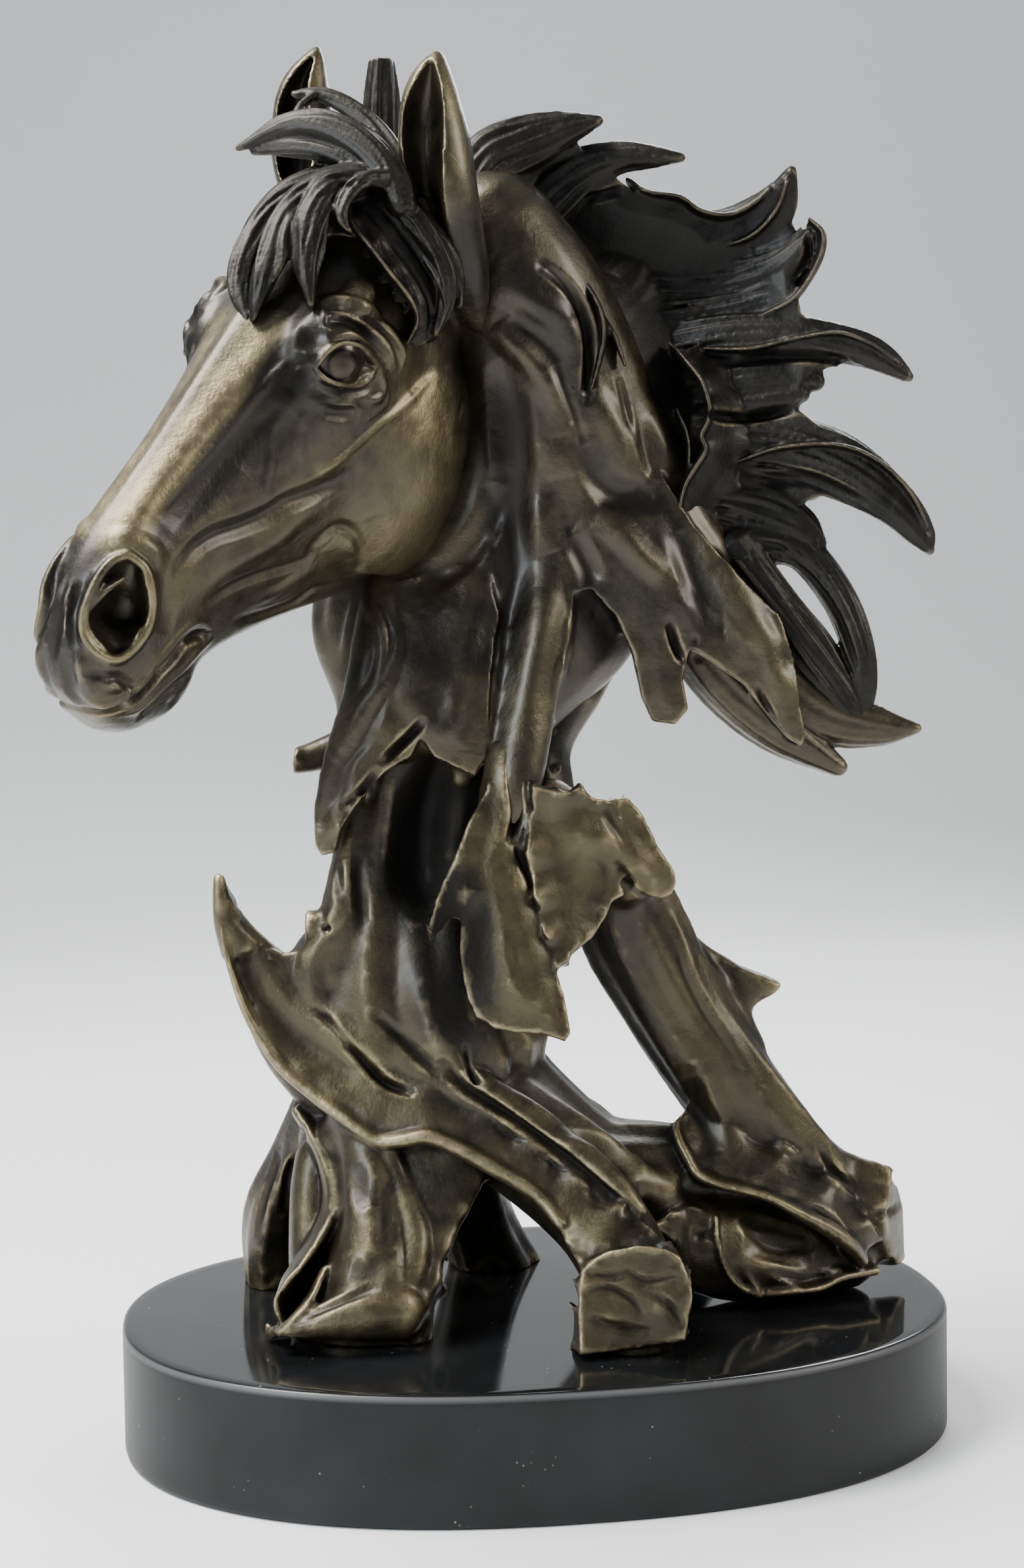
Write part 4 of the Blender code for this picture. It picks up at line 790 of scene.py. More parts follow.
# Each lock is its stations and how many strands run along it
forelock = {
    "voxel": 0.5,
    "softness": 1,
    "strandSize": 0.74,
    "sheet": [(-28, 362, -40), (-46, 372, -34), (-63, 367, -32), (-70, 358, -37), (-80, 344, -43),
        (-79, 338, -50), (-72, 350, -50), (-66, 356, -50), (-58, 352, -52), (-52, 352, -50),
        (-44, 350, -48), (-36, 344, -46), (-26, 336, -40), (-20, 346, -40)],
    "filling": [(-60, 356, -16, 8, 10), (-44, 360, -22, 12, 14), (-26, 354, -22, 12, 14)],
    "underLock": [(-42, 364, -32, 8, 9), (-36, 352, -36, 9, 9), (-30, 341, -36, 8.6, 9),
        (-26.4, 331, -33, 6.4, 6.5), (-28, 323, -30, 3.2, 5)],
    "nearLock": [(-50.5, 361, -46), (-49.7, 355.5, -50), (-44.3, 348.5, -53), (-38.8, 341, -53),
        (-34.4, 335.4, -52), (-31.7, 331, -50), (-30.8, 326.6, -47), (-33.5, 320.8, -43), (-31, 318.6, -41),
        (-26.5, 322, -41), (-22.8, 327.5, -40), (-21.2, 333, -41), (-21.4, 338.5, -42), (-25, 343.5, -44),
        (-28.5, 347.5, -45), (-33, 352.5, -46), (-37, 359, -46), (-43, 364, -45)],
    "locks": {
        "curl": ([(-33, 362, -43, 3, 3), (-36, 373, -37, 3.4, 3), (-42.5, 382.5, -31, 3.4, 2.8),
            (-50.5, 389, -28, 2.8, 2.2), (-59, 392.8, -26, 1.8, 1.8), (-66, 392.8, -25, 0.9, 1.2)], 7),
        "flying": ([(-35.5, 359.5, -48, 3, 3), (-39, 369.5, -44, 4.4, 3.6), (-46.5, 378, -40, 5, 4),
            (-56, 382.5, -37, 4.8, 3.6), (-66, 384, -34, 3.6, 3), (-76, 380, -31, 2.2, 2.4),
            (-82.5, 377.3, -30, 0.9, 1.2)], 11),
        "flying_low": ([(-38, 364, -44, 3, 3), (-46, 371, -41, 3, 3), (-56, 376, -38, 3, 3),
            (-68, 377.5, -34, 2.6, 2.5), (-78, 376.2, -31, 1, 1.4)], 7),
        "flying_inner": ([(-32.5, 359.5, -48, 2, 2.5), (-35.5, 368, -44, 2.6, 3), (-41, 377, -39, 2.6, 3),
            (-47, 383, -35, 1.6, 2)], 5),
        "web": ([(-60, 392, -27, 1.6, 2), (-63.5, 389.5, -29, 1.4, 2), (-65, 386, -32, 2, 2)], 0),
        "fall_edge": ([(-44, 369, -36, 5, 4), (-56, 368, -36, 5, 4), (-67, 363.5, -39, 5.5, 4),
            (-74.5, 356, -43, 5.5, 4), (-79, 348.5, -47, 4.8, 4), (-82.2, 341.5, -50, 4.2, 3.6),
            (-82.5, 334.5, -54, 3.2, 3), (-80.5, 328, -58, 1.0, 1.6)], 11),
        "fall_left": ([(-46, 368.5, -42, 5, 4), (-57, 366.5, -45, 5, 4), (-66, 361, -49, 4.5, 4),
            (-71.5, 352.5, -54, 4, 3.6), (-74, 344, -58, 4.2, 3.4), (-77, 336, -60, 3, 3),
            (-79, 327.5, -61, 0.9, 1.4)], 10),
        "fall_slip": ([(-66, 360, -52, 2, 2), (-69, 352, -57, 2, 2), (-70, 345, -60, 1.6, 1.8),
            (-74, 338, -62, 0.8, 1.2)], 3),
        "fall_middle": ([(-47, 367.5, -46, 4.5, 4), (-56, 365, -50, 5, 4), (-60.5, 357, -55, 5.2, 4),
            (-62.3, 348.5, -58, 4.6, 3.6), (-63, 341, -61, 3.2, 3), (-62, 331.5, -63, 0.8, 1.2)], 10),
        "fall_short": ([(-40, 368, -47, 3, 3), (-46, 367.5, -51, 2.6, 2.6), (-51, 362.5, -54, 2, 2.2),
            (-52.5, 357, -56, 1.5, 1.8), (-50, 353, -57, 0.7, 1.2)], 4),
        "ear_lock": ([(-36, 361, -44, 4, 4), (-28, 351, -44, 4.2, 4), (-22.6, 341, -44, 3.4, 4),
            (-22.4, 332, -43, 2.6, 3.4), (-25.5, 323, -42, 1.2, 2)], 6),
        "ear_lock_back": ([(-32, 358, -42, 4, 4), (-25, 349, -41, 4, 4), (-19.5, 340, -38, 2.6, 3.4),
            (-18.5, 331, -36, 1.2, 1.6)], 4),
    },
    "tuft": [(-40.5, 366, -16, 6, 6), (-40.2, 389, -15, 5.4, 4.8), (-40, 402, -15, 3.8, 4)],
    "strokes": {
        "near_one": ([(-48, 357), (-41, 348), (-34.6, 339), (-30.4, 330), (-30, 323)], 1.3, -0.9),
        "near_two": ([(-45, 359), (-37.6, 349), (-30.6, 339), (-27, 330), (-28, 323)], 1.2, -0.8),
        "near_three": ([(-41, 360), (-33, 349.6), (-27, 340), (-24, 332), (-25.4, 325)], 1.3, -0.9),
        "near_four": ([(-37, 357), (-30, 347.6), (-24.6, 340), (-22.6, 334)], 1.0, -0.6),
        "top_one": ([(-40, 366), (-50, 366.6), (-60, 363)], 1.2, -0.8),
        "top_two": ([(-42, 369), (-54, 369), (-66, 365)], 1.2, -0.8),
    },
    # A painted highlight along the near lock's free edge, and painted light on the falling locks
    "lightAndShadeTones": {
        "near_edge": ([(-49.4, 355.5), (-44, 348.5), (-38.4, 341), (-34, 335.4), (-31.2, 330),
            (-31, 325)], 1.6, 1.3),
        "fall": ([(-78, 346), (-74, 352), (-66, 358)], 8, 0.2),
    },
}


def buildForelock():
    hair = newClay()
    plate(hair, forelock["sheet"], thickness=5, hollow=-2)
    roll(hair, forelock["filling"], sides=18)
    # The mass of hair beneath the nearest lock, and the lock itself, a flat sheet with a crisp free edge
    roll(hair, forelock["underLock"], sides=30)
    plate(hair, forelock["nearLock"], thickness=6, hollow=0.4, reach=5)
    roll(hair, [(x, z, back + 1, 0.8, 2) for x, z, back in forelock["nearLock"][:8]], steps=5, sides=10)
    for k, (stations, count) in enumerate(forelock["locks"].values()):
        roll(hair, stations, steps=5, sides=36, flutes=6, fluteDepth=0.05)
        strands(hair, stations, count, forelock["strandSize"], wave=0.20, proud=1.04, seed=0.9 * k)
    roll(hair, forelock["tuft"], cut=(0, 0, 1), sides=36, flutes=6, fluteDepth=0.09)
    return finishPiece(None, clayObject("bronze_forelock", hair), forelock)


# A hollow shell of hair with locks along its edge: its near side curls over a dark hollow, its upper rim is
# thin, and combed strands line it from the crest of the neck out to the tips
# curls: thin rims of hair that curl forward over the crest, and the lit edges of the folds
mane = {
    "voxel": 0.58,
    "softness": 1,
    "strandSize": 0.84,
    "combedSize": 0.85,
    "combedCount": 9,
    "shell": [(-12, 352, -2), (-8, 368, 4), (0, 380, 8), (14, 381, 10), (20, 373, 12), (33, 363.5, 14),
        (46, 360.5, 15), (58, 356, 16), (66, 357, 15), (74, 363, 13), (81, 350, 12), (80, 338, 11),
        (81, 328, 10), (92, 318, 9), (82, 309, 10), (80, 300, 10), (92, 290, 8), (104, 276, 6),
        (98, 272, 6), (88, 275, 9), (80, 272, 10), (80, 264, 10), (72, 258, 10), (56, 262, 10),
        (44, 284, 9), (30, 306, 8), (14, 330, 4)],
    "side": [(44, 317, 15), (47.5, 314, 2), (52, 308, -3), (54.3, 300, -5), (53.6, 296, -5),
        (51.8, 292, -5), (53, 288, -5), (50, 283, -5), (47, 278, -5), (45.3, 271.5, -5), (44.8, 266, -4),
        (50, 264, 4), (60, 270, 11), (68, 282, 14), (70, 298, 16), (66, 310, 18), (56, 320, 20)],
    "rim": [(32, 365.4, 17, 1.2, 4), (37, 362.4, 13, 1.1, 5), (46, 361, 12, 1.1, 5), (52, 357, 12, 1.1, 5),
        (60, 355.6, 12, 1.1, 5), (67, 358.6, 11, 1.2, 5), (73, 363.5, 9, 1.6, 4)],
    "locks": {
        "first": ([(-16, 360, 0, 9, 5), (-9, 373, 3, 9, 5), (3, 378.5, 6, 8, 4.5), (14, 382, 7, 4.8, 4),
            (23, 384, 6, 1.6, 2)], 13),
        "second": ([(-2, 350, 12, 9, 4), (12, 366, 12, 8, 4.5), (26, 373, 12, 5, 4.5),
            (38, 373.5, 10, 3.4, 4), (47, 373, 8, 1.4, 2)], 11),
        "third": ([(30, 342, 30, 8, 3), (52, 346, 23, 11, 3.5), (65, 351, 17, 9, 4),
            (74.5, 359, 11, 6.4, 4), (79, 369, 5, 1.6, 2)], 14),
        "fold": ([(30, 328, 30, 8, 4), (54, 331, 23, 10, 4), (71, 336, 16, 9, 4.5), (80, 343.5, 11, 5, 4),
            (84.5, 351, 7, 1.4, 2.5)], 14),
        "fourth": ([(34, 315, 26, 7, 5), (54, 319.5, 17, 8, 5), (76, 321.5, 12, 6.5, 4.5),
            (97, 317.5, 8, 5.5, 4), (106, 313.5, 6, 4, 3.5), (113, 308.5, 4, 1.6, 2)], 13),
        "fourth_low": ([(44, 308, 20, 7, 5), (60, 308, 15, 6.4, 5), (76, 309, 12, 5, 4),
            (86, 307.6, 9, 3, 3)], 8),
        "block": ([(46, 301, 18, 4.6, 4), (62, 302, 13, 4.6, 4), (74, 303, 11, 4, 3.5),
            (82, 304, 9, 2.4, 3)], 6),
        "fifth": ([(50, 289, 13, 10, 6), (70, 289, 12, 10.5, 5), (90, 284, 8, 10, 5), (107, 273, 4, 7, 4.5),
            (116, 263, 2, 4.5, 4), (119, 257.5, 1, 1.4, 2)], 17),
        "skirt": ([(52, 274, 11, 8, 6), (68, 271, 11, 9, 5), (80, 266, 9, 6, 4), (86, 260, 8, 3, 3)], 11),
        "strap": ([(64, 262, 10, 8, 5), (80, 259, 9, 6, 4), (91, 246, 7, 5.4, 4), (97, 232, 6, 5, 4),
            (99.5, 219, 6, 3.8, 3.5), (97, 209, 7, 4, 3)], 8),
        "last": ([(60, 260, 8, 8, 6), (73, 243, 7, 7, 5), (83, 229, 6, 8, 5), (92, 216, 6, 6, 4),
            (97, 208, 7, 4, 4)], 9),
    },
    "combed": [[(22, 358, 18, 6, 3), (34, 358, 21, 6, 3), (48, 355, 21, 5, 3),
        (62, 352, 17, 3, 3)], [(30, 350, 21, 7, 3), (44, 350, 22, 7, 3), (60, 349, 19, 7, 3),
        (74, 353, 13, 5, 3), (79, 364, 7, 2, 2)], [(32, 338, 21, 7, 3), (48, 339, 22, 7, 3),
        (64, 340, 18, 7, 3), (78, 345, 12, 5, 3), (83.5, 352, 8, 2, 2)], [(34, 325, 20, 6, 3),
        (50, 326, 20, 6, 3), (66, 329, 16, 6, 3), (80, 333, 11, 4, 3)], [(50, 313, 16, 5, 3),
        (64, 312, 14, 6, 3), (78, 313, 12, 5, 3), (94, 314, 8, 3, 3)], [(56, 297, 13, 5, 3),
        (66, 297.6, 13, 5, 3), (78, 299, 11, 4, 3)], [(54, 279, 10, 6, 3), (66, 278.6, 11, 6, 3),
        (78, 277, 11, 4, 3)]],
    "curls": {
        "crest": [(11, 343, -6, 1.1, 3), (17, 338, -10, 1.2, 4), (22, 330, -13, 1.2, 5),
            (23.5, 322, -14, 1.2, 5), (22, 314, -14, 1.0, 4), (19.8, 306.5, -13, 0.5, 2)],
        "small": [(23, 328, -11, 0.8, 2), (26.8, 321, -12, 0.9, 3), (29.8, 313, -12, 0.5, 1.5)],
        "side_edge": [(43.6, 317.6, 13, 0.7, 3), (47.2, 314.2, 1, 0.9, 3), (52, 308, -3, 1.0, 3),
            (54.3, 300, -5, 1.0, 3), (53.6, 296, -5, 1.0, 3), (51.8, 292, -5, 1.0, 3),
            (53, 288, -5, 1.0, 3), (50, 283, -5, 1.0, 3), (47, 278, -5, 0.9, 3),
            (45.3, 271.5, -5, 0.8, 2.5), (44.8, 266, -4, 0.5, 1.5)],
        "side_inner": [(45, 299, 8, 0.8, 3), (47.8, 292, 1, 0.9, 3), (48.2, 285, -1, 0.9, 3),
            (46.4, 278, 3, 0.6, 2)],
        "fold_rim": [(84, 354.5, 6, 0.7, 2), (87.6, 350.5, 5, 1.1, 3), (87.4, 345, 5, 1.2, 3.5),
            (84.4, 338.5, 6, 1.1, 3.5), (79, 331.5, 8, 1.0, 3), (70, 327, 11, 0.6, 2)],
        "fold_inner": [(83.6, 353, 8, 0.6, 2), (84.6, 346, 8, 0.9, 3), (81.2, 339.5, 9, 0.9, 3),
            (75.6, 333.5, 11, 0.8, 3)],
        "fourth_edge": [(50, 317.6, 12, 0.5, 2), (66, 317.4, 9, 0.8, 2.4), (79, 320, 7, 0.8, 2.4),
            (92, 321.6, 4, 0.8, 2.4), (102, 318, 3, 0.7, 2), (110, 312.6, 2, 0.6, 1.6)],
        "third_edge": [(52, 345.5, 18, 0.5, 2), (66, 349.5, 12, 0.8, 2.4), (74, 357, 7, 0.8, 2.4),
            (77.5, 366, 3, 0.7, 2)],
        "fifth_edge": [(62, 284.6, 7, 0.5, 2), (76, 288.6, 5, 0.8, 2.4), (92, 289, 2, 0.8, 2.4),
            (104, 284, 0, 0.8, 2.4), (113, 275, -2, 0.7, 2), (118, 265, -2, 0.6, 1.6)],
    },
    "strokes": {
        "fourth_hollow": ([(58, 313.5), (70, 315), (85, 315), (98, 312)], 2.2, -2.2),
        "gap_two": ([(55, 298.4), (62, 297.6), (70, 298), (80, 300)], 2.2, -3.6),
        "fifth_hollow": ([(70, 278.8), (84, 279), (98, 272.6), (108, 263)], 3.4, -2.6),
        "gap_four": ([(18, 361), (30, 364), (42, 366)], 2.4, -2.0),
        "fold_pocket": ([(83.6, 350), (83.4, 344), (79.6, 337.6)], 1.6, -2.4),
        "strap_groove": ([(74, 258), (84, 250), (92, 238), (97, 224)], 1.6, -1.4),
    },
    # Painted shade darkens the inside of the shell; painted light lightens the lit locks and their tips
    "lightAndShadeTones": {
        "inside": ([(14, 352), (30, 345), (46, 336), (60, 340)], 22, -1.0),
        "first": ([(-8, 372), (6, 380), (18, 383)], 7, 0.3),
        "tips": ([(98, 318), (106, 314), (112, 309)], 7, 0.3),
        "fifth": ([(92, 288), (106, 280), (117, 266)], 7, 0.35),
        "fourth": ([(56, 320), (76, 321)], 5, 0.35),
    },
}


def buildMane():
    hair = newClay()
    plate(hair, mane["shell"], thickness=5, hollow=15, reach=18, sunk=-4)
    plate(hair, mane["side"], thickness=2.6, hollow=3, reach=7)
    roll(hair, mane["rim"], steps=5, sides=12)
    for k, (stations, count) in enumerate(mane["locks"].values()):
        roll(hair, stations, steps=6, sides=44, flutes=7, fluteDepth=0.03)
        strands(hair, stations, count, mane["strandSize"], wave=0.08, proud=1.02, seed=1.3 * k)
    for k, stations in enumerate(mane["combed"]):
        strands(hair, stations, mane["combedCount"], mane["combedSize"], wave=0.08, proud=1.1,
                seed=0.7 * k + 4)
    layRolls(hair, mane["curls"], steps=6, sides=12)
    return finishPiece(None, clayObject("bronze_mane", hair), mane)


# masses: the number of flutes that facet each like split wood, and its stations
# flare: the front foot, one broad mass down to its toe
# apron: the horn's sheet, which runs on into the front root down to its broken end
# star: a pointed tongue that laps from the hooded leaf towards the stump
# sheets: an outline, how thick it is, how far its middle lies behind its rim, and how far it is sunk
roots = {
    "voxel": 0.8,
    "softness": 2,
    "fluteDepth": 0.08,
    "flareThickness": 15,
    "finThickness": 8,
    "stumpThickness": 18,
    "masses": {
        "core": (5, [(-24, 228, 4, 27, 20), (-30, 198, 5, 24, 19), (-34, 168, 5, 23, 19),
            (-36, 142, 3, 28, 23), (-34, 120, 0, 33, 25), (-26, 102, 0, 33, 24)]),
        "arch_wall": (3, [(20, 262, 12, 14, 8), (19, 242, 13, 15, 7), (13, 222, 11, 12, 7),
            (5, 202, 7, 8, 8), (4, 184, 4, 10, 9), (0, 168, 2, 10, 10)]),
        "post": (5, [(-51, 186, -5, 5, 6), (-53, 165, -8, 7, 7), (-56, 148, -9, 9, 8),
            (-60, 137, -8, 13, 9), (-55, 125, -8, 17, 10)]),
        "horn": (0, [(-91, 156, -11, 3, 3), (-86, 144, -10, 7, 4), (-78, 132, -8, 11, 5),
            (-67, 117, -6, 16, 7), (-52, 105, -3, 19, 10), (-36, 99, 0, 18, 14)]),
        "front_root": (0, [(-46, 112, 4, 17, 16), (-27, 101, -4, 16, 16), (-9, 86, -12, 15, 15),
            (8, 71, -20, 14, 14), (21, 57, -28, 14, 13), (29, 40, -40, 14, 12), (29, 26, -50, 14, 12)]),
        "inner_rope": (3, [(-36, 124, -8, 6, 4), (-24, 109, -10, 8, 6), (-8, 97, -11, 9, 7),
            (10, 84, -14, 9, 7), (26, 74, -15, 7, 6), (40, 66, -12, 5, 4)]),
        "front_foot": (0, [(-50, 98, -14, 13, 10), (-49, 78, -23, 9, 9), (-48, 60, -32, 10, 10),
            (-48, 44, -40, 13, 11), (-49, 31, -45, 14, 8)]),
        "sole": (0, [(-56, 36, -40, 14, 8), (-52, 27, -38, 14, 8), (-50, 12, -36, 13, 8)]),
        "sole_two": (0, [(-38, 38, -38, 7, 9), (-38, 24, -36, 7, 9), (-38, 10, -34, 7, 9)]),
        "foot_back": (0, [(-62, 92, -2, 7, 8), (-66, 72, -8, 7, 8), (-67, 54, -16, 7, 9),
            (-67, 40, -24, 7, 9), (-66, 28, -30, 8, 8)]),
        "toe": (0, [(-40, 33, -47, 9, 8), (-58, 31, -51, 7, 6), (-76, 26.5, -53, 1.8, 2)]),
        "back_foot": (4, [(-60, 104, 6, 8, 9), (-70, 80, 16, 9, 12), (-77, 62, 22, 11, 14),
            (-78, 42, 26, 10, 13)]),
        "leg": (4, [(24, 172, 2, 12, 11), (29, 150, 7, 16, 12), (41, 126, 9, 15.5, 12),
            (53, 107, 10, 15.5, 13), (67, 88, 12, 15.5, 14), (82, 72, 16, 14, 14), (98, 60, 22, 14, 13)]),
        "foot": (4, [(80, 72, 16, 12, 9), (94, 63, 13, 15, 10), (108, 58, 13, 15, 11)]),
        "saddle": (3, [(-18, 113, 6, 16, 14), (0, 93, 5, 15, 14), (18, 78, 4, 14, 15), (36, 75, 4, 14, 15),
            (56, 72, 8, 14, 13), (76, 68, 12, 12, 12)]),
        "leaf_floor": (0, [(30, 64, -4, 9, 10), (46, 53, -6, 14, 13), (64, 48, -5, 14, 13),
            (80, 47, 2, 11, 12), (95, 47, 9, 9, 9)]),
        "back_root": (5, [(-30, 116, 8, 16, 12), (-26, 88, 24, 14, 12), (-18, 60, 36, 12, 12),
            (-10, 40, 44, 14, 12)]),
        "side_root": (5, [(-6, 98, 8, 10, 10), (14, 84, 20, 12, 12), (34, 62, 30, 12, 12),
            (48, 42, 36, 12, 11)]),
        "leaf_stem": (0, [(-3, 222, -4, 7, 5), (-4, 206, -13, 8, 6), (-5, 193, -19, 9, 7),
            (-7, 175, -21, 10, 7), (-8, 152, -21, 10, 7)]),
        "broad_stem": (0, [(4, 186, -14, 8, 8), (18, 172, -8, 11, 9), (30, 163, -2, 11, 10)]),
    },
    "fin": [(38, 158, 10), (44, 149, 10), (52, 142, 10), (62, 135, 9), (70, 132, 9), (75.5, 129.5, 9),
        (72.5, 126.5, 9), (65, 123, 9), (66.5, 118, 9), (70, 111, 9), (60, 96, 8), (46, 110, 6),
        (36, 134, 6)],
    "flare": [(-66, 90, -12), (-62.5, 80, -20), (-62, 72, -25), (-63.5, 62, -31), (-63.5, 52, -37),
        (-64, 44, -42), (-68, 36, -46), (-76, 27.5, -51), (-78, 25.5, -52), (-68, 26, -52), (-58, 28, -52),
        (-48, 31.5, -52), (-40, 34, -51), (-32, 33, -49), (-29, 40, -46), (-26, 50, -41), (-21, 60, -35),
        (-15, 70, -29), (-16, 78, -27), (-30, 86, -26), (-46, 86, -24), (-58, 92, -20)],
    "rims": {
        "horn_tip": [(-92.5, 164, -15, 1.8, 2), (-91, 152, -14, 3.6, 3.5), (-87, 142, -13, 5.6, 4)],
        "horn_rim": [(-93.5, 160, -14.5, 1.12, 2), (-91, 145, -15.5, 1.38, 2.5),
            (-85.5, 125, -16.5, 1.62, 3), (-76.5, 109, -18.5, 1.88, 3), (-66, 99, -21.5, 2.12, 3),
            (-56, 91, -25.5, 2.25, 3), (-47, 84.5, -27.5, 2.5, 3.5), (-40, 84.5, -29.5, 2.5, 3.5),
            (-32, 85.5, -30.5, 2.75, 3.5), (-24, 82.5, -31.5, 2.75, 3.5), (-15, 77.5, -33.5, 2.75, 3.5),
            (0, 68, -37.5, 2.5, 3), (8, 58, -43.5, 1.75, 2.5)],
        "rope": [(-67, 133, -11.2, 1.61, 2), (-57, 124, -14.2, 5.06, 3.4), (-42, 113, -17.2, 8.05, 4.4),
            (-26, 103, -20.2, 8.05, 5), (-6, 92, -25.2, 6.9, 5), (12, 79, -30.2, 6.21, 5),
            (24, 68.5, -36.2, 5.06, 4), (31, 61.5, -39.2, 2.99, 3)],
        "foot_sheet": [(-69, 93, -3, 2.6, 6), (-65, 86, -9, 2.6, 7), (-61.6, 78, -14, 3, 8),
            (-60, 70, -18, 3.6, 9), (-61.4, 62, -23, 3.2, 9), (-66, 54, -28, 2.4, 9),
            (-71.5, 46.5, -32, 2, 10), (-75, 41, -35, 2, 10), (-76.5, 35, -38, 1.8, 9),
            (-75, 28, -42, 1.6, 6)],
        "foot_vein": [(-44, 84, -26, 3.4, 5), (-41, 74, -27.5, 4.2, 5), (-38, 64, -32, 5, 5.5),
            (-36, 55, -37, 5.4, 5.5), (-37, 46, -41.5, 5.6, 5.5), (-39, 38, -45, 5, 5)],
        "toe_edge": [(-63.5, 45, -39, 1.4, 4), (-67.2, 37.4, -45.5, 1.6, 3.5), (-72.4, 31, -51, 1.5, 3),
            (-77.4, 26.4, -52, 1.4, 2.5)],
        "saddle_ridge": [(43, 88, 5.4, 1.2, 4), (43, 85, -1.6, 1.68, 5), (45, 80, -5.6, 1.92, 5),
            (49, 73.5, -8.6, 2.04, 5), (56, 70, -11.6, 1.92, 4.5), (64, 68, -13.6, 1.68, 4),
            (72, 65, -13.6, 1.68, 4), (80, 60.5, -12.6, 2.16, 4), (87, 56.5, -10.6, 2.64, 4),
            (93, 52.5, -7.6, 2.88, 5), (97, 47.5, -2.6, 2.4, 5)],
        "leaf_fold": [(59, 55, -11, 0.8, 4), (60.5, 48, -14, 0.9, 4), (64, 41.5, -15, 0.9, 4),
            (67, 37.5, -16, 0.8, 3)],
        "leaf_fold_two": [(60, 52.5, -9, 0.8, 3), (66, 46.5, -12, 1.0, 4), (72, 41.5, -13, 1.1, 4),
            (78, 39.5, -12, 0.8, 3)],
        "leaf_fold_three": [(66, 54, -5, 0.8, 3), (76, 47.5, -7, 1, 4), (85, 43.5, -7, 1, 3),
            (91, 44, -5, 0.7, 2)],
        "leaf_lip": [(54, 59.5, -12.8, 1.08, 4), (54.3, 54, -14.8, 1.08, 5), (55.5, 48, -15.8, 1.2, 5),
            (58, 42.5, -15.8, 1.2, 5), (62, 38.5, -15.8, 1.2, 4), (67, 36.3, -15.8, 1.56, 3)],
        "leaf_sole": [(65, 36.5, -14.8, 1.56, 3), (74, 37.5, -13.8, 1.56, 4), (84, 38.5, -9.8, 1.56, 4),
            (91, 41.5, -4.8, 1.8, 4), (101, 43.5, 1.2, 1.8, 4)],
        "knob": [(-57, 151, -9, 5, 5), (-62, 149.5, -10, 4.6, 4.6), (-67, 149.5, -10, 4.6, 4.4)],
    },
    "stump": [(13.5, 44.5), (21, 49), (30, 50.5), (38, 49.8), (43.5, 48), (46, 41), (46.5, 33), (44.5, 22),
        (13, 18), (12.6, 30), (12.8, 38)],
    "sheets": {
        "apron": ([(-93.5, 164, -15), (-92, 150, -16), (-89, 135, -17), (-84, 122, -18), (-77, 110, -19),
            (-68, 101, -22), (-58, 93, -25), (-50, 86, -28), (-46, 83.5, -29), (-40, 84, -30),
            (-32, 85.5, -31), (-25, 83, -32), (-15, 77.5, -34), (-7, 73, -36), (0, 67, -38), (6, 59, -43),
            (10, 51, -49), (13, 45, -55), (14, 46, -56), (22, 49, -58), (30, 50.4, -58), (38, 49.6, -57),
            (43, 47.5, -56), (43, 50, -52), (38, 54, -46), (30, 61, -40), (20, 69, -35), (8, 79, -29),
            (-6, 90, -24), (-20, 100, -20), (-34, 112, -16), (-46, 124, -14), (-58, 138, -12),
            (-66, 142, -11), (-74, 141.5, -12), (-80, 143, -13), (-85, 149, -14),
            (-89, 158, -15)], {"thickness": 9, "hollow": 2, "reach": 10}),
        "hood": ([(43, 88, 3), (43.5, 85, -4), (45, 80, -7), (49, 73.5, -10), (56, 70, -13), (64, 68, -15),
            (72, 65, -15), (80, 60.5, -14), (87, 56.5, -12), (93, 52.5, -9), (97, 47.5, -6), (104, 52, 2),
            (98, 64, 6), (84, 76, 6), (70, 86, 4), (56, 94, 2), (47, 96, 2)], {"thickness": 4, "hollow": 2}),
        "star": ([(34.5, 57, -23), (40, 61, -18), (46, 63.5, -14), (52, 62, -13), (54, 56, -14),
            (53, 48, -15), (48, 45, -16), (44, 50, -18), (40, 53.5, -20)], {"thickness": 6, "hollow": 1}),
        "long_leaf": ([(-9, 201, -13), (-13, 189, -26), (-18.5, 179, -30), (-23, 168, -32),
            (-28.5, 157, -33), (-31, 149, -34), (-29.8, 143.5, -34), (-27, 147, -33), (-23.5, 151, -32),
            (-21, 150, -32), (-21.5, 141, -33), (-20.5, 133, -34), (-19, 126, -34), (-16.5, 121, -35),
            (-11, 117.5, -36), (-5, 116.2, -36), (0, 116, -36), (5, 115, -35), (9.5, 113.5, -35),
            (11.5, 115.5, -34), (11, 120, -33), (9.5, 128, -32), (7.5, 134.5, -31), (4, 145, -30),
            (1, 156, -29), (-1, 168, -28), (1, 180, -26), (3, 203, -11)], {"thickness": 4.5, "hollow": -4}),
        "broad_leaf": ([(1, 190, -26), (8.5, 188, -26), (15.5, 189, -24), (20, 186, -21), (25, 185.5, -18),
            (28.5, 186.5, -17), (32, 183.5, -15), (35.5, 177.5, -14), (38.5, 171, -13), (42.5, 165, -12),
            (43.5, 161, -12), (42, 157, -12), (38.5, 155.5, -12), (33, 157, -13), (29.5, 160, -14),
            (26.5, 163, -16), (28, 157, -16), (24.5, 155.5, -17), (22, 150, -20), (17.5, 143.5, -23),
            (13, 141, -26), (11, 137.5, -28), (7.5, 135.5, -29), (4, 146, -29), (1.5, 157, -29),
            (-1, 170, -28)], {"thickness": 5.5, "hollow": -3, "sunk": -4}),
    },
    "hollows": {
        "leaf": [(57, 59, -30, 4, 10), (66, 57, -29, 8, 17), (77, 53, -25, 8.5, 19), (89, 48.5, -16, 5, 13)],
        "foot": [(-58, 66, -38, 1.4, 6), (-60, 59, -40, 2.6, 10), (-64, 51, -43, 4.2, 13),
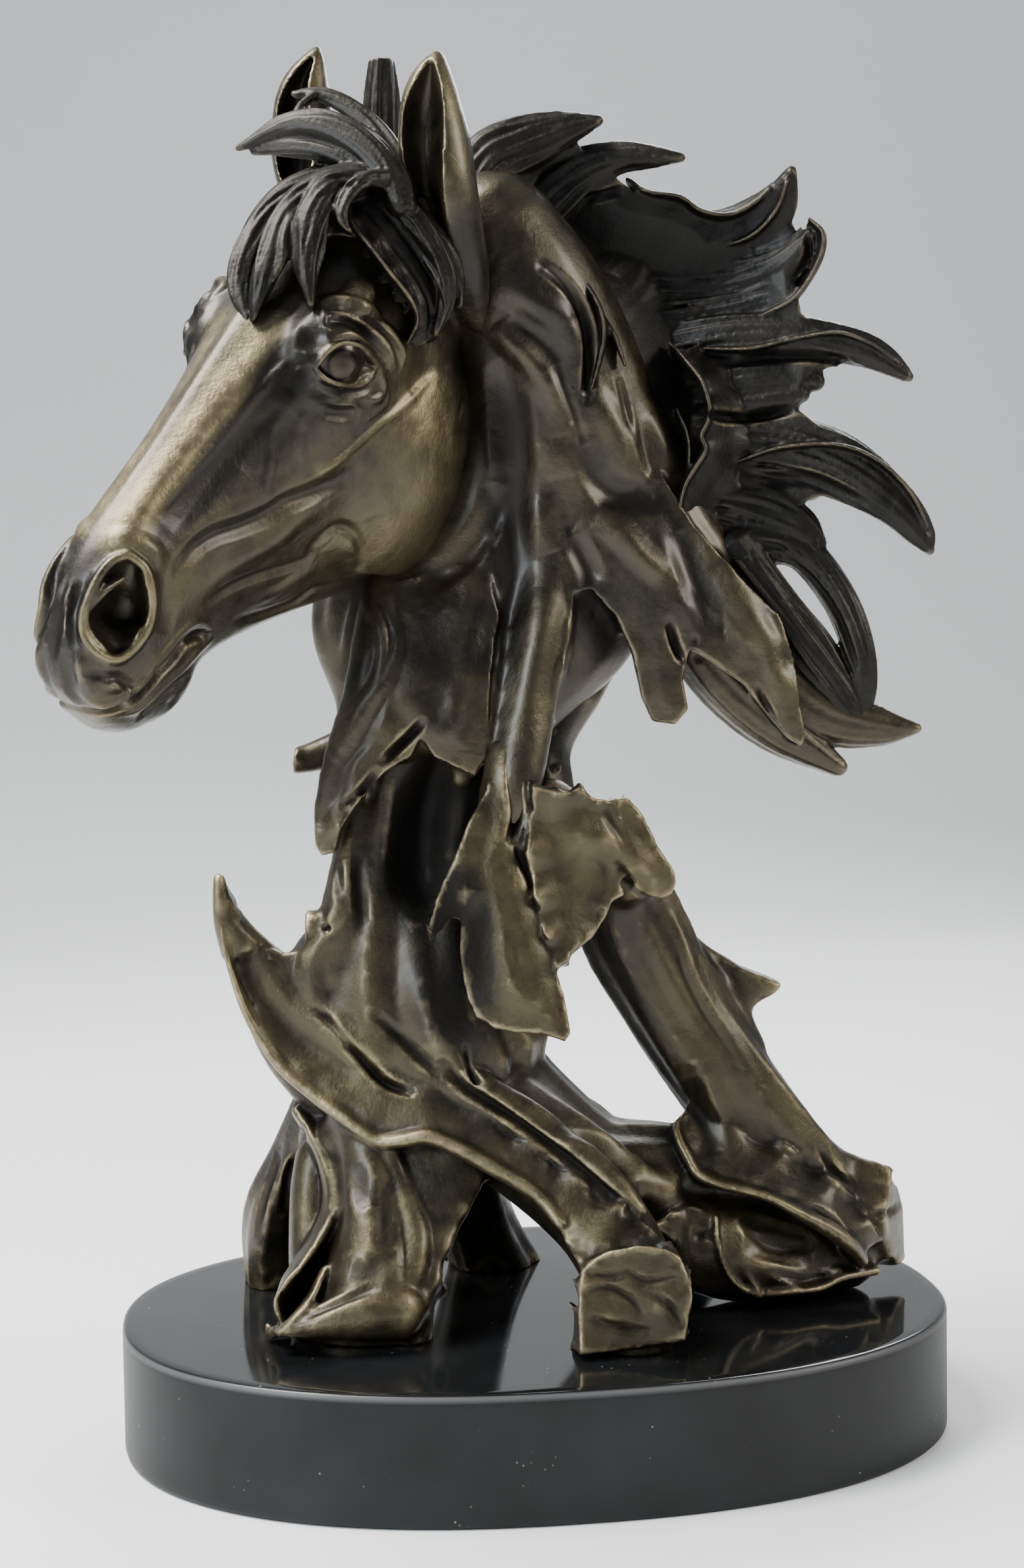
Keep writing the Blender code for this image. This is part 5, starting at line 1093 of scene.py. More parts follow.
            (-68, 43.5, -45, 4.2, 13), (-71, 37, -47, 2.6, 9)],
        "foot_hole": [(-58, 55, -52, 1.5, 12), (-54.5, 57, -50, 2.2, 14), (-50, 58, -50, 1.4, 12)],
    },
    "strokes": {
        "arch_cave": ([(20, 240), (20, 230), (22, 222)], 9, -5),
        "stem_crack": ([(-5, 199), (-4.5, 190), (-3.5, 182), (-5.5, 174)], 2.2, -4.5),
        "stem_crack_two": ([(0, 184), (4, 191), (8, 196)], 2.2, -4.0),
        "leaf_seam": ([(-4, 172), (-1, 163), (2, 153)], 1.4, -2.6),
        "leaf_ridge": ([(-6, 168), (-3, 152), (1, 136), (5, 122)], 5.5, 1.4),
        "leaf_valley": ([(-12, 182), (-14, 166), (-13, 146), (-11, 128)], 6, -1.2),
        "leaf_notch": ([(26, 166), (29, 161), (34, 157)], 2.0, -1.8),
        "broad_swell": ([(10, 178), (20, 174), (30, 168), (36, 162)], 7, 1.2),
        "broad_valley": ([(22, 184), (26, 176), (30, 168)], 2.8, -1.0),
        "throat_cave": ([(-26, 200), (-30, 184), (-32, 166), (-30, 150)], 12, -6.5),
        "post_split": ([(-51, 172), (-51, 160), (-50, 148)], 3, -1.6),
        "post_split_two": ([(-57, 168), (-57, 158)], 2.4, -1.2),
        "knob_pit": ([(-61, 149.5), (-61, 147.5)], 1.6, -2),
        "horn_hollow": ([(-90, 150), (-84, 134), (-76, 122), (-64, 110), (-52, 101)], 6, -2.2),
        "horn_split": ([(-90, 144), (-86, 134), (-82, 126)], 1.8, -1.2),
        "knee_swell": ([(-66, 126), (-56, 116), (-46, 106)], 6, 1.6),
        "rope_gap": ([(-64, 124), (-58, 118), (-50, 108), (-44, 102), (-37, 99)], 2.2, -4.2),
        "rope_gap_two": ([(-27, 107), (-20, 100), (-8, 92), (6, 81), (22, 67), (32, 60)], 2.6, -3),
        "rope_wood": ([(-46, 122), (-36, 112), (-26, 102)], 2.4, -1.4),
        "saddle_hollow": ([(-14, 104), (4, 90), (20, 80), (34, 76)], 7, -2.2),
        "saddle_gap": ([(-20, 112), (-18, 104), (-16, 101)], 1.8, -2.6),
        "shin_hollow": ([(46, 102), (50, 90), (54, 78)], 6, -2.4),
        "leg_edge": ([(41, 154), (45, 143), (48, 133), (53, 123), (60, 112), (68, 98)], 3.4, 1.5),
        "leg_valley": ([(30, 142), (38, 124), (48, 106)], 7, -1.6),
        "leg_valley_two": ([(52, 104), (60, 92), (70, 82), (80, 74)], 5, -1.5),
        "fin_hollow": ([(48, 146), (56, 137), (64, 131)], 4.5, -1.2),
        "foot_crease": ([(86, 80), (90, 73), (94, 70)], 2.2, -2.2),
        "foot_crease_two": ([(98, 60), (104, 60), (109, 63)], 2.4, -1.2),
        "foot_lip": ([(84, 62), (90, 58.5), (95, 54)], 1.6, -2.2),
        "foot_hollow": ([(-56, 46), (-50, 44), (-46, 50)], 5, -1.4),
        "foot_web": ([(-54, 78), (-52, 70), (-50, 64)], 5, -1.6),
        "vein_valley": ([(-46, 74), (-45, 62), (-45, 52)], 4.5, -1.6),
        "toe_crease": ([(-70, 31), (-60, 35.5), (-48, 40)], 2.2, -1.4),
        "back_foot_crease": ([(-69, 88), (-73, 76), (-75, 64)], 2.6, -2.4),
        "back_foot_crease_two": ([(-76, 82), (-81, 68), (-83, 54)], 3, -1.6),
        "back_foot_split": ([(-88, 43), (-80, 42.5), (-72, 42)], 1.8, -2),
        "leaf_hollow": ([(62, 52), (74, 50), (84, 47)], 6, -3),
        "leaf_pocket": ([(50, 57), (50, 52)], 4, -1.6),
        "stump_break": ([(14, 45), (20, 42.4), (27, 43.4)], 1.8, -0.8),
        "stump_break_two": ([(26, 44.6), (33, 40.6), (43, 42)], 1.6, -0.8),
        "stump_break_three": ([(14, 37), (21, 38.6), (28, 35), (32, 30)], 1.8, -0.9),
        "stump_break_four": ([(16, 30), (23, 27), (34, 25)], 1.8, -0.8),
        "stump_break_five": ([(35, 37), (40, 32.6), (44, 26)], 1.8, -0.9),
        "stump_facet": ([(24, 33), (20, 26)], 5.0, 0.6),
        "stump_facet_two": ([(40, 38), (34, 28)], 4.6, 0.6),
        "stump_edge": ([(14.5, 46), (22, 49), (30, 50.4), (38, 49.6), (43, 47)], 1.6, 0.9),
        "stump_edge_two": ([(44.6, 45), (46, 38), (45.6, 31)], 1.4, 0.8),
    },
    # Mostly painted light and shade: the trunk, the arch wall, the gap by the stem, the place under the
    # apron, the feet, the web and the leg's left side are darker for their shade; the lit leaves, leg, horn,
    # root and ridges are lighter, and the horn's rim is also rubbed
    "lightAndShadeTones": {
        "horn_rim": ([(-91, 148), (-84, 122), (-72, 105), (-56, 91), (-46, 84), (-30, 85),
            (-16, 78)], 3.4, 0.9),
        "horn": ([(-84, 136), (-68, 120), (-50, 106)], 12, 0.35),
        "long_leaf": ([(-6, 172), (-6, 150), (-4, 128)], 14, 0.5),
        "broad_leaf": ([(10, 176), (24, 168), (36, 164)], 12, 0.45),
        "leg": ([(38, 134), (48, 116), (60, 98)], 9, 0.35),
        "leg_left": ([(22, 142), (32, 122), (40, 106)], 6, -0.6),
        "trunk": ([(-24, 204), (-30, 175), (-28, 150), (-20, 126)], 19, -1.9),
        "arch_wall": ([(12, 222), (6, 204), (4, 190)], 8, -1.2),
        "stem_gap": ([(-4, 198), (-4, 186), (-2, 168)], 4, -1.2),
        "under_apron": ([(-12, 66), (-4, 56), (2, 44)], 8, -1.4),
        "foot_dark": ([(-64, 52), (-69, 43), (-72, 36)], 5, -1.8),
        "post": ([(-54, 170), (-56, 155)], 8, -0.2),
        "saddle_ridge": ([(40, 90), (45, 80), (50, 72), (64, 68), (80, 60)], 3, 0.8),
        "saddle": ([(0, 88), (20, 76), (34, 70)], 10, 0.1),
        "stump": ([(20, 36), (40, 38)], 14, 0.15),
        "foot_vein": ([(-40, 66), (-37, 52), (-39, 40)], 4, 0.5),
        "back_foot": ([(-76, 76), (-80, 56)], 12, -0.5),
        "web": ([(-54, 78), (-52, 64)], 9, -0.5),
        "front_root": ([(-10, 78), (6, 66), (18, 56)], 8, 0.35),
    },
}


def layRoots(clay):
    for name, (flutes, stations) in roots["masses"].items():
        roll(clay, stations, cut=(1, -0.5, 0.15) if name == "foot" else None, sides=44, flutes=flutes,
             fluteDepth=roots["fluteDepth"])
    plate(clay, roots["fin"], roots["finThickness"], hollow=1.5)
    plate(clay, roots["flare"], roots["flareThickness"])


def layRims(clay):
    for name, stations in roots["rims"].items():
        roll(clay, stations, cut=(-1, 0, 0) if name == "knob" else None, steps=5, sides=16)
    # The root's broken end leans back towards its top
    plate(clay, [(x, z, -58 - (50 - z) * 0.16) for x, z in roots["stump"]], roots["stumpThickness"])
    for outline, kept in roots["sheets"].values():
        plate(clay, outline, **kept)


def buildRoots():
    masses = pieceMasses("root_masses", layRoots, smoothSteps=5)
    hollowOut(masses, roots["hollows"])
    rims = newClay()
    layRims(rims)
    return finishPiece(masses, clayObject("bronze_roots", rims), roots)


# How hidden from the light each place on the bronze is, from 0 to 1, on a coarse copy of all its pieces
def findShelter(pieces):
    voxel, rayCount, reach, lift = 0.003, 28, 0.09, 0.0025
    coarse = joinMeshes("coarse", [piece.data for piece in pieces])
    fuse(coarse, voxel, 2)
    tree = skinTree(coarse)
    rays = []
    for k in range(rayCount):
        height = 1 - (k + 0.5) / rayCount
        ring = math.sqrt(1 - height * height)
        rays.append(Vector((ring * math.cos(2.4 * k), ring * math.sin(2.4 * k), height)))
    places = KDTree(len(coarse.data.vertices))
    shelter = np.zeros(len(coarse.data.vertices))
    for i, vert in enumerate(coarse.data.vertices):
        turn = vert.normal.to_track_quat("Z", "Y")
        start = vert.co + vert.normal * lift
        hits = sum(ray.z for ray in rays if tree.ray_cast(start, turn @ ray, reach)[0] is not None)
        shelter[i] = 2 * hits / rayCount
        places.insert(vert.co, i)
    places.balance()
    bpy.data.objects.remove(coarse)
    return places, shelter


# Numbers at each corner that the patina reads: fine and broad relief, and shelter from light, from which it
# paints shade
def addMasks(obj, places, shelter):
    fineSteps, broadSteps = 10, 50
    mesh = obj.data
    count = len(mesh.vertices)
    # Kept in single precision, as the mesh has them
    spots = cornersOf(mesh, "co").astype(np.float32) * 1000.0
    normals = cornersOf(mesh, "normal").astype(np.float32)
    ends = np.empty(len(mesh.edges) * 2, np.int32)
    mesh.edges.foreach_get("vertices", ends)
    ends = ends.reshape(-1, 2)
    starts, stops = np.concatenate([ends[:, 0], ends[:, 1]]), np.concatenate([ends[:, 1], ends[:, 0]])
    valence = np.maximum(np.bincount(starts, minlength=count), 1)

    def averaged(values):
        sums = [np.bincount(starts, values[stops, k], minlength=count) for k in range(3)]
        return np.stack(sums, 1) / valence[:, None]

    smooth = spots.astype(float)
    for step in range(broadSteps):
        smooth = 0.4 * smooth + 0.6 * averaged(smooth)
        if step == fineSteps - 1:
            fine = np.sum((spots - smooth) * normals, axis=1)
    broad = np.sum((spots - smooth) * normals, axis=1)
    sheltered = np.zeros(count)
    for i, spot in enumerate(spots):
        found = places.find_n(Vector(spot) * 0.001, 3)
        weights = [1 / (distance + 1e-4) for _, _, distance in found]
        sheltered[i] = sum(shelter[k] * weight for (_, k, _), weight in zip(found, weights)) / sum(weights)
    for name, values in (("fine_relief", fine), ("broad_relief", broad), ("shelter", sheltered)):
        layer = mesh.attributes.new(name, "FLOAT", "POINT")
        layer.data.foreach_set("value", values.astype(np.float32))
    print("scene:", obj.name, "masks")


def newMaterial(name):
    made = bpy.data.materials.new(name)
    made.use_nodes = True
    return made, made.node_tree, made.node_tree.nodes["Principled BSDF"]


def node(tree, kind, **values):
    made = tree.nodes.new(kind)
    for name, value in values.items():
        if name in made.inputs:
            made.inputs[name].default_value = value
        else:
            setattr(made, name, value)
    return made


def scaled(tree, source, low, high, toLow=0.0, toHigh=1.0):
    made = tree.nodes.new("ShaderNodeMapRange")
    made.clamp = True
    for name, value in (("From Min", low), ("From Max", high), ("To Min", toLow), ("To Max", toHigh)):
        made.inputs[name].default_value = value
    tree.links.new(source, made.inputs["Value"])
    return made.outputs["Result"]


def maths(tree, operation, one, other, clamp=False):
    made = tree.nodes.new("ShaderNodeMath")
    made.operation = operation
    made.use_clamp = clamp
    for k, value in enumerate((one, other)):
        if isinstance(value, (int, float)):
            made.inputs[k].default_value = value
        else:
            tree.links.new(value, made.inputs[k])
    return made.outputs["Value"]


def blended(tree, factor, one, other):
    made = tree.nodes.new("ShaderNodeMix")
    made.data_type = "RGBA"
    tree.links.new(factor, made.inputs["Factor"])
    for name, value in (("A", one), ("B", other)):
        socket = [s for s in made.inputs if s.name == name and s.type == "RGBA"][0]
        if isinstance(value, tuple):
            socket.default_value = (*value, 1)
        else:
            tree.links.new(value, socket)
    return [s for s in made.outputs if s.type == "RGBA"][0]


def noise(tree, where, scale, detail=4.0, roughness=0.55):
    made = node(tree, "ShaderNodeTexNoise", Scale=scale, Detail=detail, Roughness=roughness)
    tree.links.new(where, made.inputs["Vector"])
    return made.outputs["Fac"]


def nodeGroup(name, inputs, outputs):
    tree = bpy.data.node_groups.new(name, "ShaderNodeTree")
    for way, sockets in (("INPUT", inputs), ("OUTPUT", outputs)):
        for socket, kind in sockets.items():
            tree.interface.new_socket(name=socket, in_out=way, socket_type="NodeSocket" + kind)
    return tree, tree.nodes.new("NodeGroupInput"), tree.nodes.new("NodeGroupOutput")


# The patina that every bronze shares, with painted shade in it: dark in the hollows, in creases and where it
# is sheltered from the light, as painted shade together with the patina that lies there, and rubbed to the
# metal along its edges
# Each pair of limits says where an effect starts and where it is whole; relief is in millimetres
patina = {
    # The first colour is the near-black of painted shade and of the patina in the hollows
    "shadeAndHollowColour": (0.006, 0.0048, 0.0038), "rubbedAndHighlightColour": (0.46, 0.37, 0.225),
    # The rubbed colour above is worn metal on the edges and also a painted highlight where the tones are high
    "cloudScale": 30.0, "mottleScale": 150.0, "grainScale": 800.0,
    "shelterDarkens": (0.34, 0.80), "creaseDarkens": (-0.08, -0.45), "paintedShadeDarkens": (-0.7, -1.7),
    "edgeRubs": (0.17, 0.6), "highlightAndWearRubs": (0.55, 1.1), "shelterKeeps": (0.25, 0.70),
    "bump": 0.6, "waxRoughness": 0.26,
}


def patinaGroup():
    tree, given, out = nodeGroup(
        "bronze_patina",
        {"Dark": "Color", "Light": "Color", "WearAndHighlight": "Float", "Roughness": "Float", "Wax": "Float"},
        {"Color": "Color", "Metallic": "Float", "Roughness": "Float", "Wax": "Float", "Normal": "Vector"})
    where = node(tree, "ShaderNodeTexCoord").outputs["Object"]
    fine, broad, shelter, light_and_shade_tone = (node(tree, "ShaderNodeAttribute", attribute_name=name).outputs["Fac"]
                                  for name in ("fine_relief", "broad_relief", "shelter", "light_and_shade_tone"))
    cloud = noise(tree, where, patina["cloudScale"], 4.0)
    mottle = noise(tree, where, patina["mottleScale"], 8.0, 0.66)
    grain = noise(tree, where, patina["grainScale"], 5.0, 0.62)
    lightness = maths(tree, "ADD", scaled(tree, cloud, 0.35, 0.65, 0.0, 0.45),
                      scaled(tree, mottle, 0.35, 0.65, 0.0, 0.3))
    # Painted light and shade from the drawn tones: lighter where the light falls, darker in shade
    lightness = maths(tree, "ADD", lightness, maths(tree, "MULTIPLY", light_and_shade_tone, 0.8))
    # Painted shade and light: broad hollows darker and broad swells lighter
    lightness = maths(tree, "ADD", lightness, scaled(tree, broad, -1.6, 1.8, -0.4, 0.4), True)
    base = blended(tree, lightness, given.outputs["Dark"], given.outputs["Light"])
    # Painted shade: darker where the bronze is sheltered from the light, in creases and where the tones are
    # darkest, blended towards the near-black shade colour together with the patina of the hollows
    dark = maths(tree, "ADD", scaled(tree, shelter, *patina["shelterDarkens"]),
                 scaled(tree, fine, *patina["creaseDarkens"], 0.0, 0.9))
    dark = maths(tree, "ADD", dark, scaled(tree, light_and_shade_tone, *patina["paintedShadeDarkens"], 0.0, 0.9), True)
    wax = maths(tree, "MULTIPLY", given.outputs["Wax"], scaled(tree, dark, 0.0, 0.8, 1.0, 0.1))
    tree.links.new(wax, out.inputs["Wax"])
    base = blended(tree, dark, base, patina["shadeAndHollowColour"])
    # Rubbed metal: real wear on the sharp edges, and a painted highlight where the tones are high, as on the
    # lit bridge and the near lock's edge
    wornAndHighlit = maths(tree, "ADD", scaled(tree, fine, *patina["edgeRubs"]),
                 scaled(tree, light_and_shade_tone, *patina["highlightAndWearRubs"], 0.0, 0.4))
    wornAndHighlit = maths(tree, "MULTIPLY", wornAndHighlit, scaled(tree, mottle, 0.36, 0.62, 0.25, 1.0))
    wornAndHighlit = maths(tree, "MULTIPLY", wornAndHighlit, scaled(tree, shelter, *patina["shelterKeeps"], 1.0, 0.0))
    wornAndHighlit = maths(tree, "MULTIPLY", wornAndHighlit, given.outputs["WearAndHighlight"], True)
    base = blended(tree, wornAndHighlit, base, patina["rubbedAndHighlightColour"])
    tree.links.new(base, out.inputs["Color"])
    tree.links.new(scaled(tree, wornAndHighlit, 0.0, 1.0, 0.82, 1.0), out.inputs["Metallic"])
    rough = maths(tree, "ADD", scaled(tree, mottle, 0.3, 0.7, -0.09, 0.12),
                  scaled(tree, dark, 0.0, 1.0, 0.0, 0.25))
    rough = maths(tree, "ADD", rough, given.outputs["Roughness"])
    tree.links.new(rough, out.inputs["Roughness"])
    height = maths(tree, "ADD", maths(tree, "MULTIPLY", mottle, 0.9), maths(tree, "MULTIPLY", grain, 0.16))
    bump = node(tree, "ShaderNodeBump", Strength=patina["bump"], Distance=0.001)
    tree.links.new(height, bump.inputs["Height"])
    tree.links.new(bump.outputs["Normal"], out.inputs["Normal"])
    return tree


# The finish of each piece, as the patina takes it
# Wear sets how much rubbed metal, and so how much painted highlight, each piece shows
bronzes = {
    "face": {"Dark": (0.018, 0.0148, 0.011), "Light": (0.098, 0.080, 0.041), "WearAndHighlight": 0.85, "Roughness": 0.36,
             "Wax": 0.3},
    "neck": {"Dark": (0.017, 0.0136, 0.0096), "Light": (0.074, 0.060, 0.031), "WearAndHighlight": 0.55,
             "Roughness": 0.36, "Wax": 0.3},
    "forelock": {"Dark": (0.0062, 0.0055, 0.0046), "Light": (0.022, 0.0186, 0.0146), "WearAndHighlight": 0.4,
                 "Roughness": 0.45, "Wax": 0.08},
    "mane": {"Dark": (0.0060, 0.0054, 0.0046), "Light": (0.024, 0.021, 0.017), "WearAndHighlight": 0.35,
             "Roughness": 0.45, "Wax": 0.08},
    "roots": {"Dark": (0.0155, 0.0128, 0.0088), "Light": (0.074, 0.060, 0.029), "WearAndHighlight": 0.7, "Roughness": 0.4,
              "Wax": 0.25},
}


def bronzeMaterial(name, patinaTree):
    made, tree, shader = newMaterial("bronze_" + name)
    group = tree.nodes.new("ShaderNodeGroup")
    group.node_tree = patinaTree
    for socket, value in bronzes[name].items():
        group.inputs[socket].default_value = (*value, 1) if isinstance(value, tuple) else value
    links = {"Color": "Base Color", "Metallic": "Metallic", "Roughness": "Roughness", "Wax": "Coat Weight",
             "Normal": "Normal"}
    for source, target in links.items():
        tree.links.new(group.outputs[source], shader.inputs[target])
    shader.inputs["Coat Roughness"].default_value = patina["waxRoughness"]
    return made


# Both balls, with each corner's distance from its own iris for the near-black ring painted around it, painted
# shade where a cut ring would be
def buildEyes(centre, iris):
    radius = horseHead["eyeball"]["radius"]
    bm = bmesh.new()
    pairs = [(centre, iris), (overTheNose(centre), overTheNose(iris))]
    for middle, _ in pairs:
        bmesh.ops.create_uvsphere(bm, u_segments=96, v_segments=64, radius=radius,
                                  matrix=Matrix.Translation(middle))
    distances = [min((vert.co - spot).length for _, spot in pairs) for vert in bm.verts]
    bmesh.ops.transform(bm, matrix=standing, verts=bm.verts)
    mesh = bpy.data.meshes.new("eyeballs")
    bm.to_mesh(mesh)
    bm.free()
    mesh.attributes.new("iris", "FLOAT", "POINT").data.foreach_set("value", distances)
    mesh.shade_smooth()
    obj = bpy.data.objects.new("eyeballs", mesh)
    bpy.context.scene.collection.objects.link(obj)
    mesh.materials.append(eyeMaterial())
    return obj


eyeColours = {
    "dark": (0.012, 0.009, 0.0065), "light": (0.040, 0.029, 0.018),
    "iris": (0.046, 0.037, 0.022), "ring": (0.004, 0.003, 0.0024),
}


def eyeMaterial():
    made, tree, shader = newMaterial("eye_bronze")
    where = node(tree, "ShaderNodeTexCoord").outputs["Object"]
    away = node(tree, "ShaderNodeAttribute", attribute_name="iris").outputs["Fac"]
    cloud = noise(tree, where, 260.0)
    base = blended(tree, scaled(tree, cloud, 0.35, 0.65), eyeColours["dark"], eyeColours["light"])
    inside = maths(tree, "MULTIPLY", scaled(tree, away, 4.0, 3.4), scaled(tree, away, 1.4, 2.0))
    base = blended(tree, maths(tree, "MULTIPLY", inside, 0.3), base, eyeColours["iris"])
    # A painted shadow: a near-black ring around the iris in place of the shade of a cut groove
    ring = maths(tree, "MULTIPLY", scaled(tree, away, 3.5, 4.0), scaled(tree, away, 4.9, 4.3))
    base = blended(tree, ring, base, eyeColours["ring"])
    tree.links.new(base, shader.inputs["Base Color"])
    tree.links.new(scaled(tree, cloud, 0.3, 0.7, 0.16, 0.28), shader.inputs["Roughness"])
    shader.inputs["Metallic"].default_value = 0.7
    return made


# An oval between an ellipse and a rectangle, in metres: a squareness of 2 would be a plain ellipse
marbleBlock = {
    "length": 0.245, "depth": 0.175, "edge": 0.0016, "squareness": 2.3, "sides": 288,
    "dark": (0.005, 0.0052, 0.0055), "light": (0.011, 0.0115, 0.0125),
    # bevel: the grey of a painted highlight along the rim of the top
    "specks": (0.35, 0.34, 0.31), "bevel": (0.12, 0.12, 0.12),
}


def buildPlinth():
    edge, power = marbleBlock["edge"], 2 / marbleBlock["squareness"]
    bm = bmesh.new()
    made = bmesh.ops.create_circle(bm, cap_ends=True, segments=marbleBlock["sides"], radius=1.0)["verts"]
    for vert in made:
        c, s = vert.co.x, vert.co.y
        vert.co.x = marbleBlock["length"] / 2 * math.copysign(abs(c) ** power, c)
        vert.co.y = marbleBlock["depth"] / 2 * math.copysign(abs(s) ** power, s)
    pulled = bmesh.ops.extrude_face_region(bm, geom=list(bm.faces))["geom"]
    raised = [v for v in pulled if isinstance(v, bmesh.types.BMVert)]
    bmesh.ops.translate(bm, vec=(0, 0, plinthHeight), verts=raised)
    bmesh.ops.recalc_face_normals(bm, faces=bm.faces)
    rims = [e for e in bm.edges if abs(e.verts[0].co.z - e.verts[1].co.z) < 1e-6]
    bmesh.ops.bevel(bm, geom=rims, offset=edge, offset_type="OFFSET", segments=3, profile=0.5, affect="EDGES",
                    material=-1)
    # Narrow rings beside the bevels keep the smooth shading flat everywhere else
    caps = [f for f in bm.faces if len(f.verts) > 8]
    for cap in caps:
        bmesh.ops.inset_region(bm, faces=[cap], thickness=0.003, use_even_offset=True)
    for height in (edge + 0.002, plinthHeight - edge - 0.002):
        bmesh.ops.bisect_plane(bm, geom=list(bm.verts) + list(bm.edges) + list(bm.faces),
                               plane_co=(0, 0, height), plane_no=(0, 0, 1))
    mesh = bpy.data.meshes.new("marble_block")
    bm.to_mesh(mesh)
    bm.free()
    mesh.shade_smooth()
    obj = bpy.data.objects.new("marble_block", mesh)
    bpy.context.scene.collection.objects.link(obj)
    return obj


def marbleMaterial():
    made, tree, shader = newMaterial("black_marble_polish")
    where = node(tree, "ShaderNodeTexCoord").outputs["Object"]
    cloud = noise(tree, where, 35.0, 5.0)
    speck = node(tree, "ShaderNodeTexVoronoi", Scale=420.0)
    tree.links.new(where, speck.inputs["Vector"])
    rarity = noise(tree, where, 95.0, 2.0)
    dots = maths(tree, "MULTIPLY", scaled(tree, speck.outputs["Distance"], 0.16, 0.05),
                 scaled(tree, rarity, 0.60, 0.68))
    base = blended(tree, scaled(tree, cloud, 0.35, 0.7), marbleBlock["dark"], marbleBlock["light"])
    base = blended(tree, maths(tree, "MULTIPLY", dots, 0.7), base, marbleBlock["specks"])
    # The top is polished and the side only honed; the small bevel between them is painted lighter, a painted
    # highlight along the rim
    parts = node(tree, "ShaderNodeSeparateXYZ")
    tree.links.new(where, parts.inputs["Vector"])
    height = parts.outputs["Z"]
    top = scaled(tree, height, plinthHeight - 0.0006, plinthHeight - 0.0001)
    line = maths(tree, "MULTIPLY", scaled(tree, height, plinthHeight - 0.0022, plinthHeight - 0.0010),
                 scaled(tree, height, plinthHeight - 0.0002, plinthHeight - 0.0006))
    base = blended(tree, maths(tree, "MULTIPLY", line, 0.6), base, marbleBlock["bevel"])
    tree.links.new(base, shader.inputs["Base Color"])
    rough = maths(tree, "ADD", scaled(tree, top, 0.0, 1.0, 0.42, 0.06),
                  scaled(tree, cloud, 0.3, 0.7, 0.0, 0.05))
    tree.links.new(rough, shader.inputs["Roughness"])
    tree.links.new(scaled(tree, top, 0.0, 1.0, 0.22, 0.5), shader.inputs["Specular IOR Level"])
    return made


# A pale sweep: floor, curve and wall in one, in metres
backdrop = {"front": -3.0, "bend": 1.1, "radius": 1.2, "top": 3.4, "width": 8.0}


def addSweep():
    bend, radius = backdrop["bend"], backdrop["radius"]
    bm = bmesh.new()
    profile = [(backdrop["front"], 0.0), (bend, 0.0)]
    for step in range(1, 16):
        turn = step * 0.1
        profile.append((bend + math.sin(turn) * radius, radius - math.cos(turn) * radius))
    profile += [(bend + radius, radius + 0.1), (bend + radius, backdrop["top"])]
    line = [bm.verts.new((-backdrop["width"] / 2, y, z)) for y, z in profile]
    edges = [bm.edges.new(pair) for pair in zip(line, line[1:])]
    pulled = bmesh.ops.extrude_edge_only(bm, edges=edges)["geom"]
    moved = [v for v in pulled if isinstance(v, bmesh.types.BMVert)]
    bmesh.ops.translate(bm, vec=(backdrop["width"], 0, 0), verts=moved)
    bmesh.ops.recalc_face_normals(bm, faces=bm.faces)
    if sum(f.normal.z for f in bm.faces) < 0:
        bmesh.ops.reverse_faces(bm, faces=bm.faces)
    mesh = bpy.data.meshes.new("backdrop")
    bm.to_mesh(mesh)
    bm.free()
    mesh.shade_smooth()
    sweep = bpy.data.objects.new("backdrop", mesh)
    bpy.context.scene.collection.objects.link(sweep)
    made, tree, shader = newMaterial("pale_sweep")
    where = node(tree, "ShaderNodeTexCoord").outputs["Object"]
    tree.links.new(blended(tree, noise(tree, where, 3.0), (0.83, 0.84, 0.85), (0.87, 0.87, 0.86)),
                   shader.inputs["Base Color"])
    shader.inputs["Roughness"].default_value = 0.7
    mesh.materials.append(made)


# Lamps: place, power, size and colour; all of them look at the middle of the piece
studio = {
    "sky": (0.78, 0.86, 0.97, 1), "skyStrength": 0.34, "lookAt": (0, 0, 0.2),
    "lamps": {
        "key": ((-0.62, -0.02, 1.25), 44.0, 0.6, (1.0, 0.98, 0.94)),
        "window": ((-1.1, -0.8, 0.7), 20.0, 0.5, (0.82, 0.91, 1.0)),
        "fill": ((1.15, -0.5, 0.8), 13.0, 0.45, (1.0, 0.95, 0.86)),
        "back": ((0.4, 0.95, 0.9), 12.0, 0.6, (0.95, 0.97, 1.0)),
    },
}


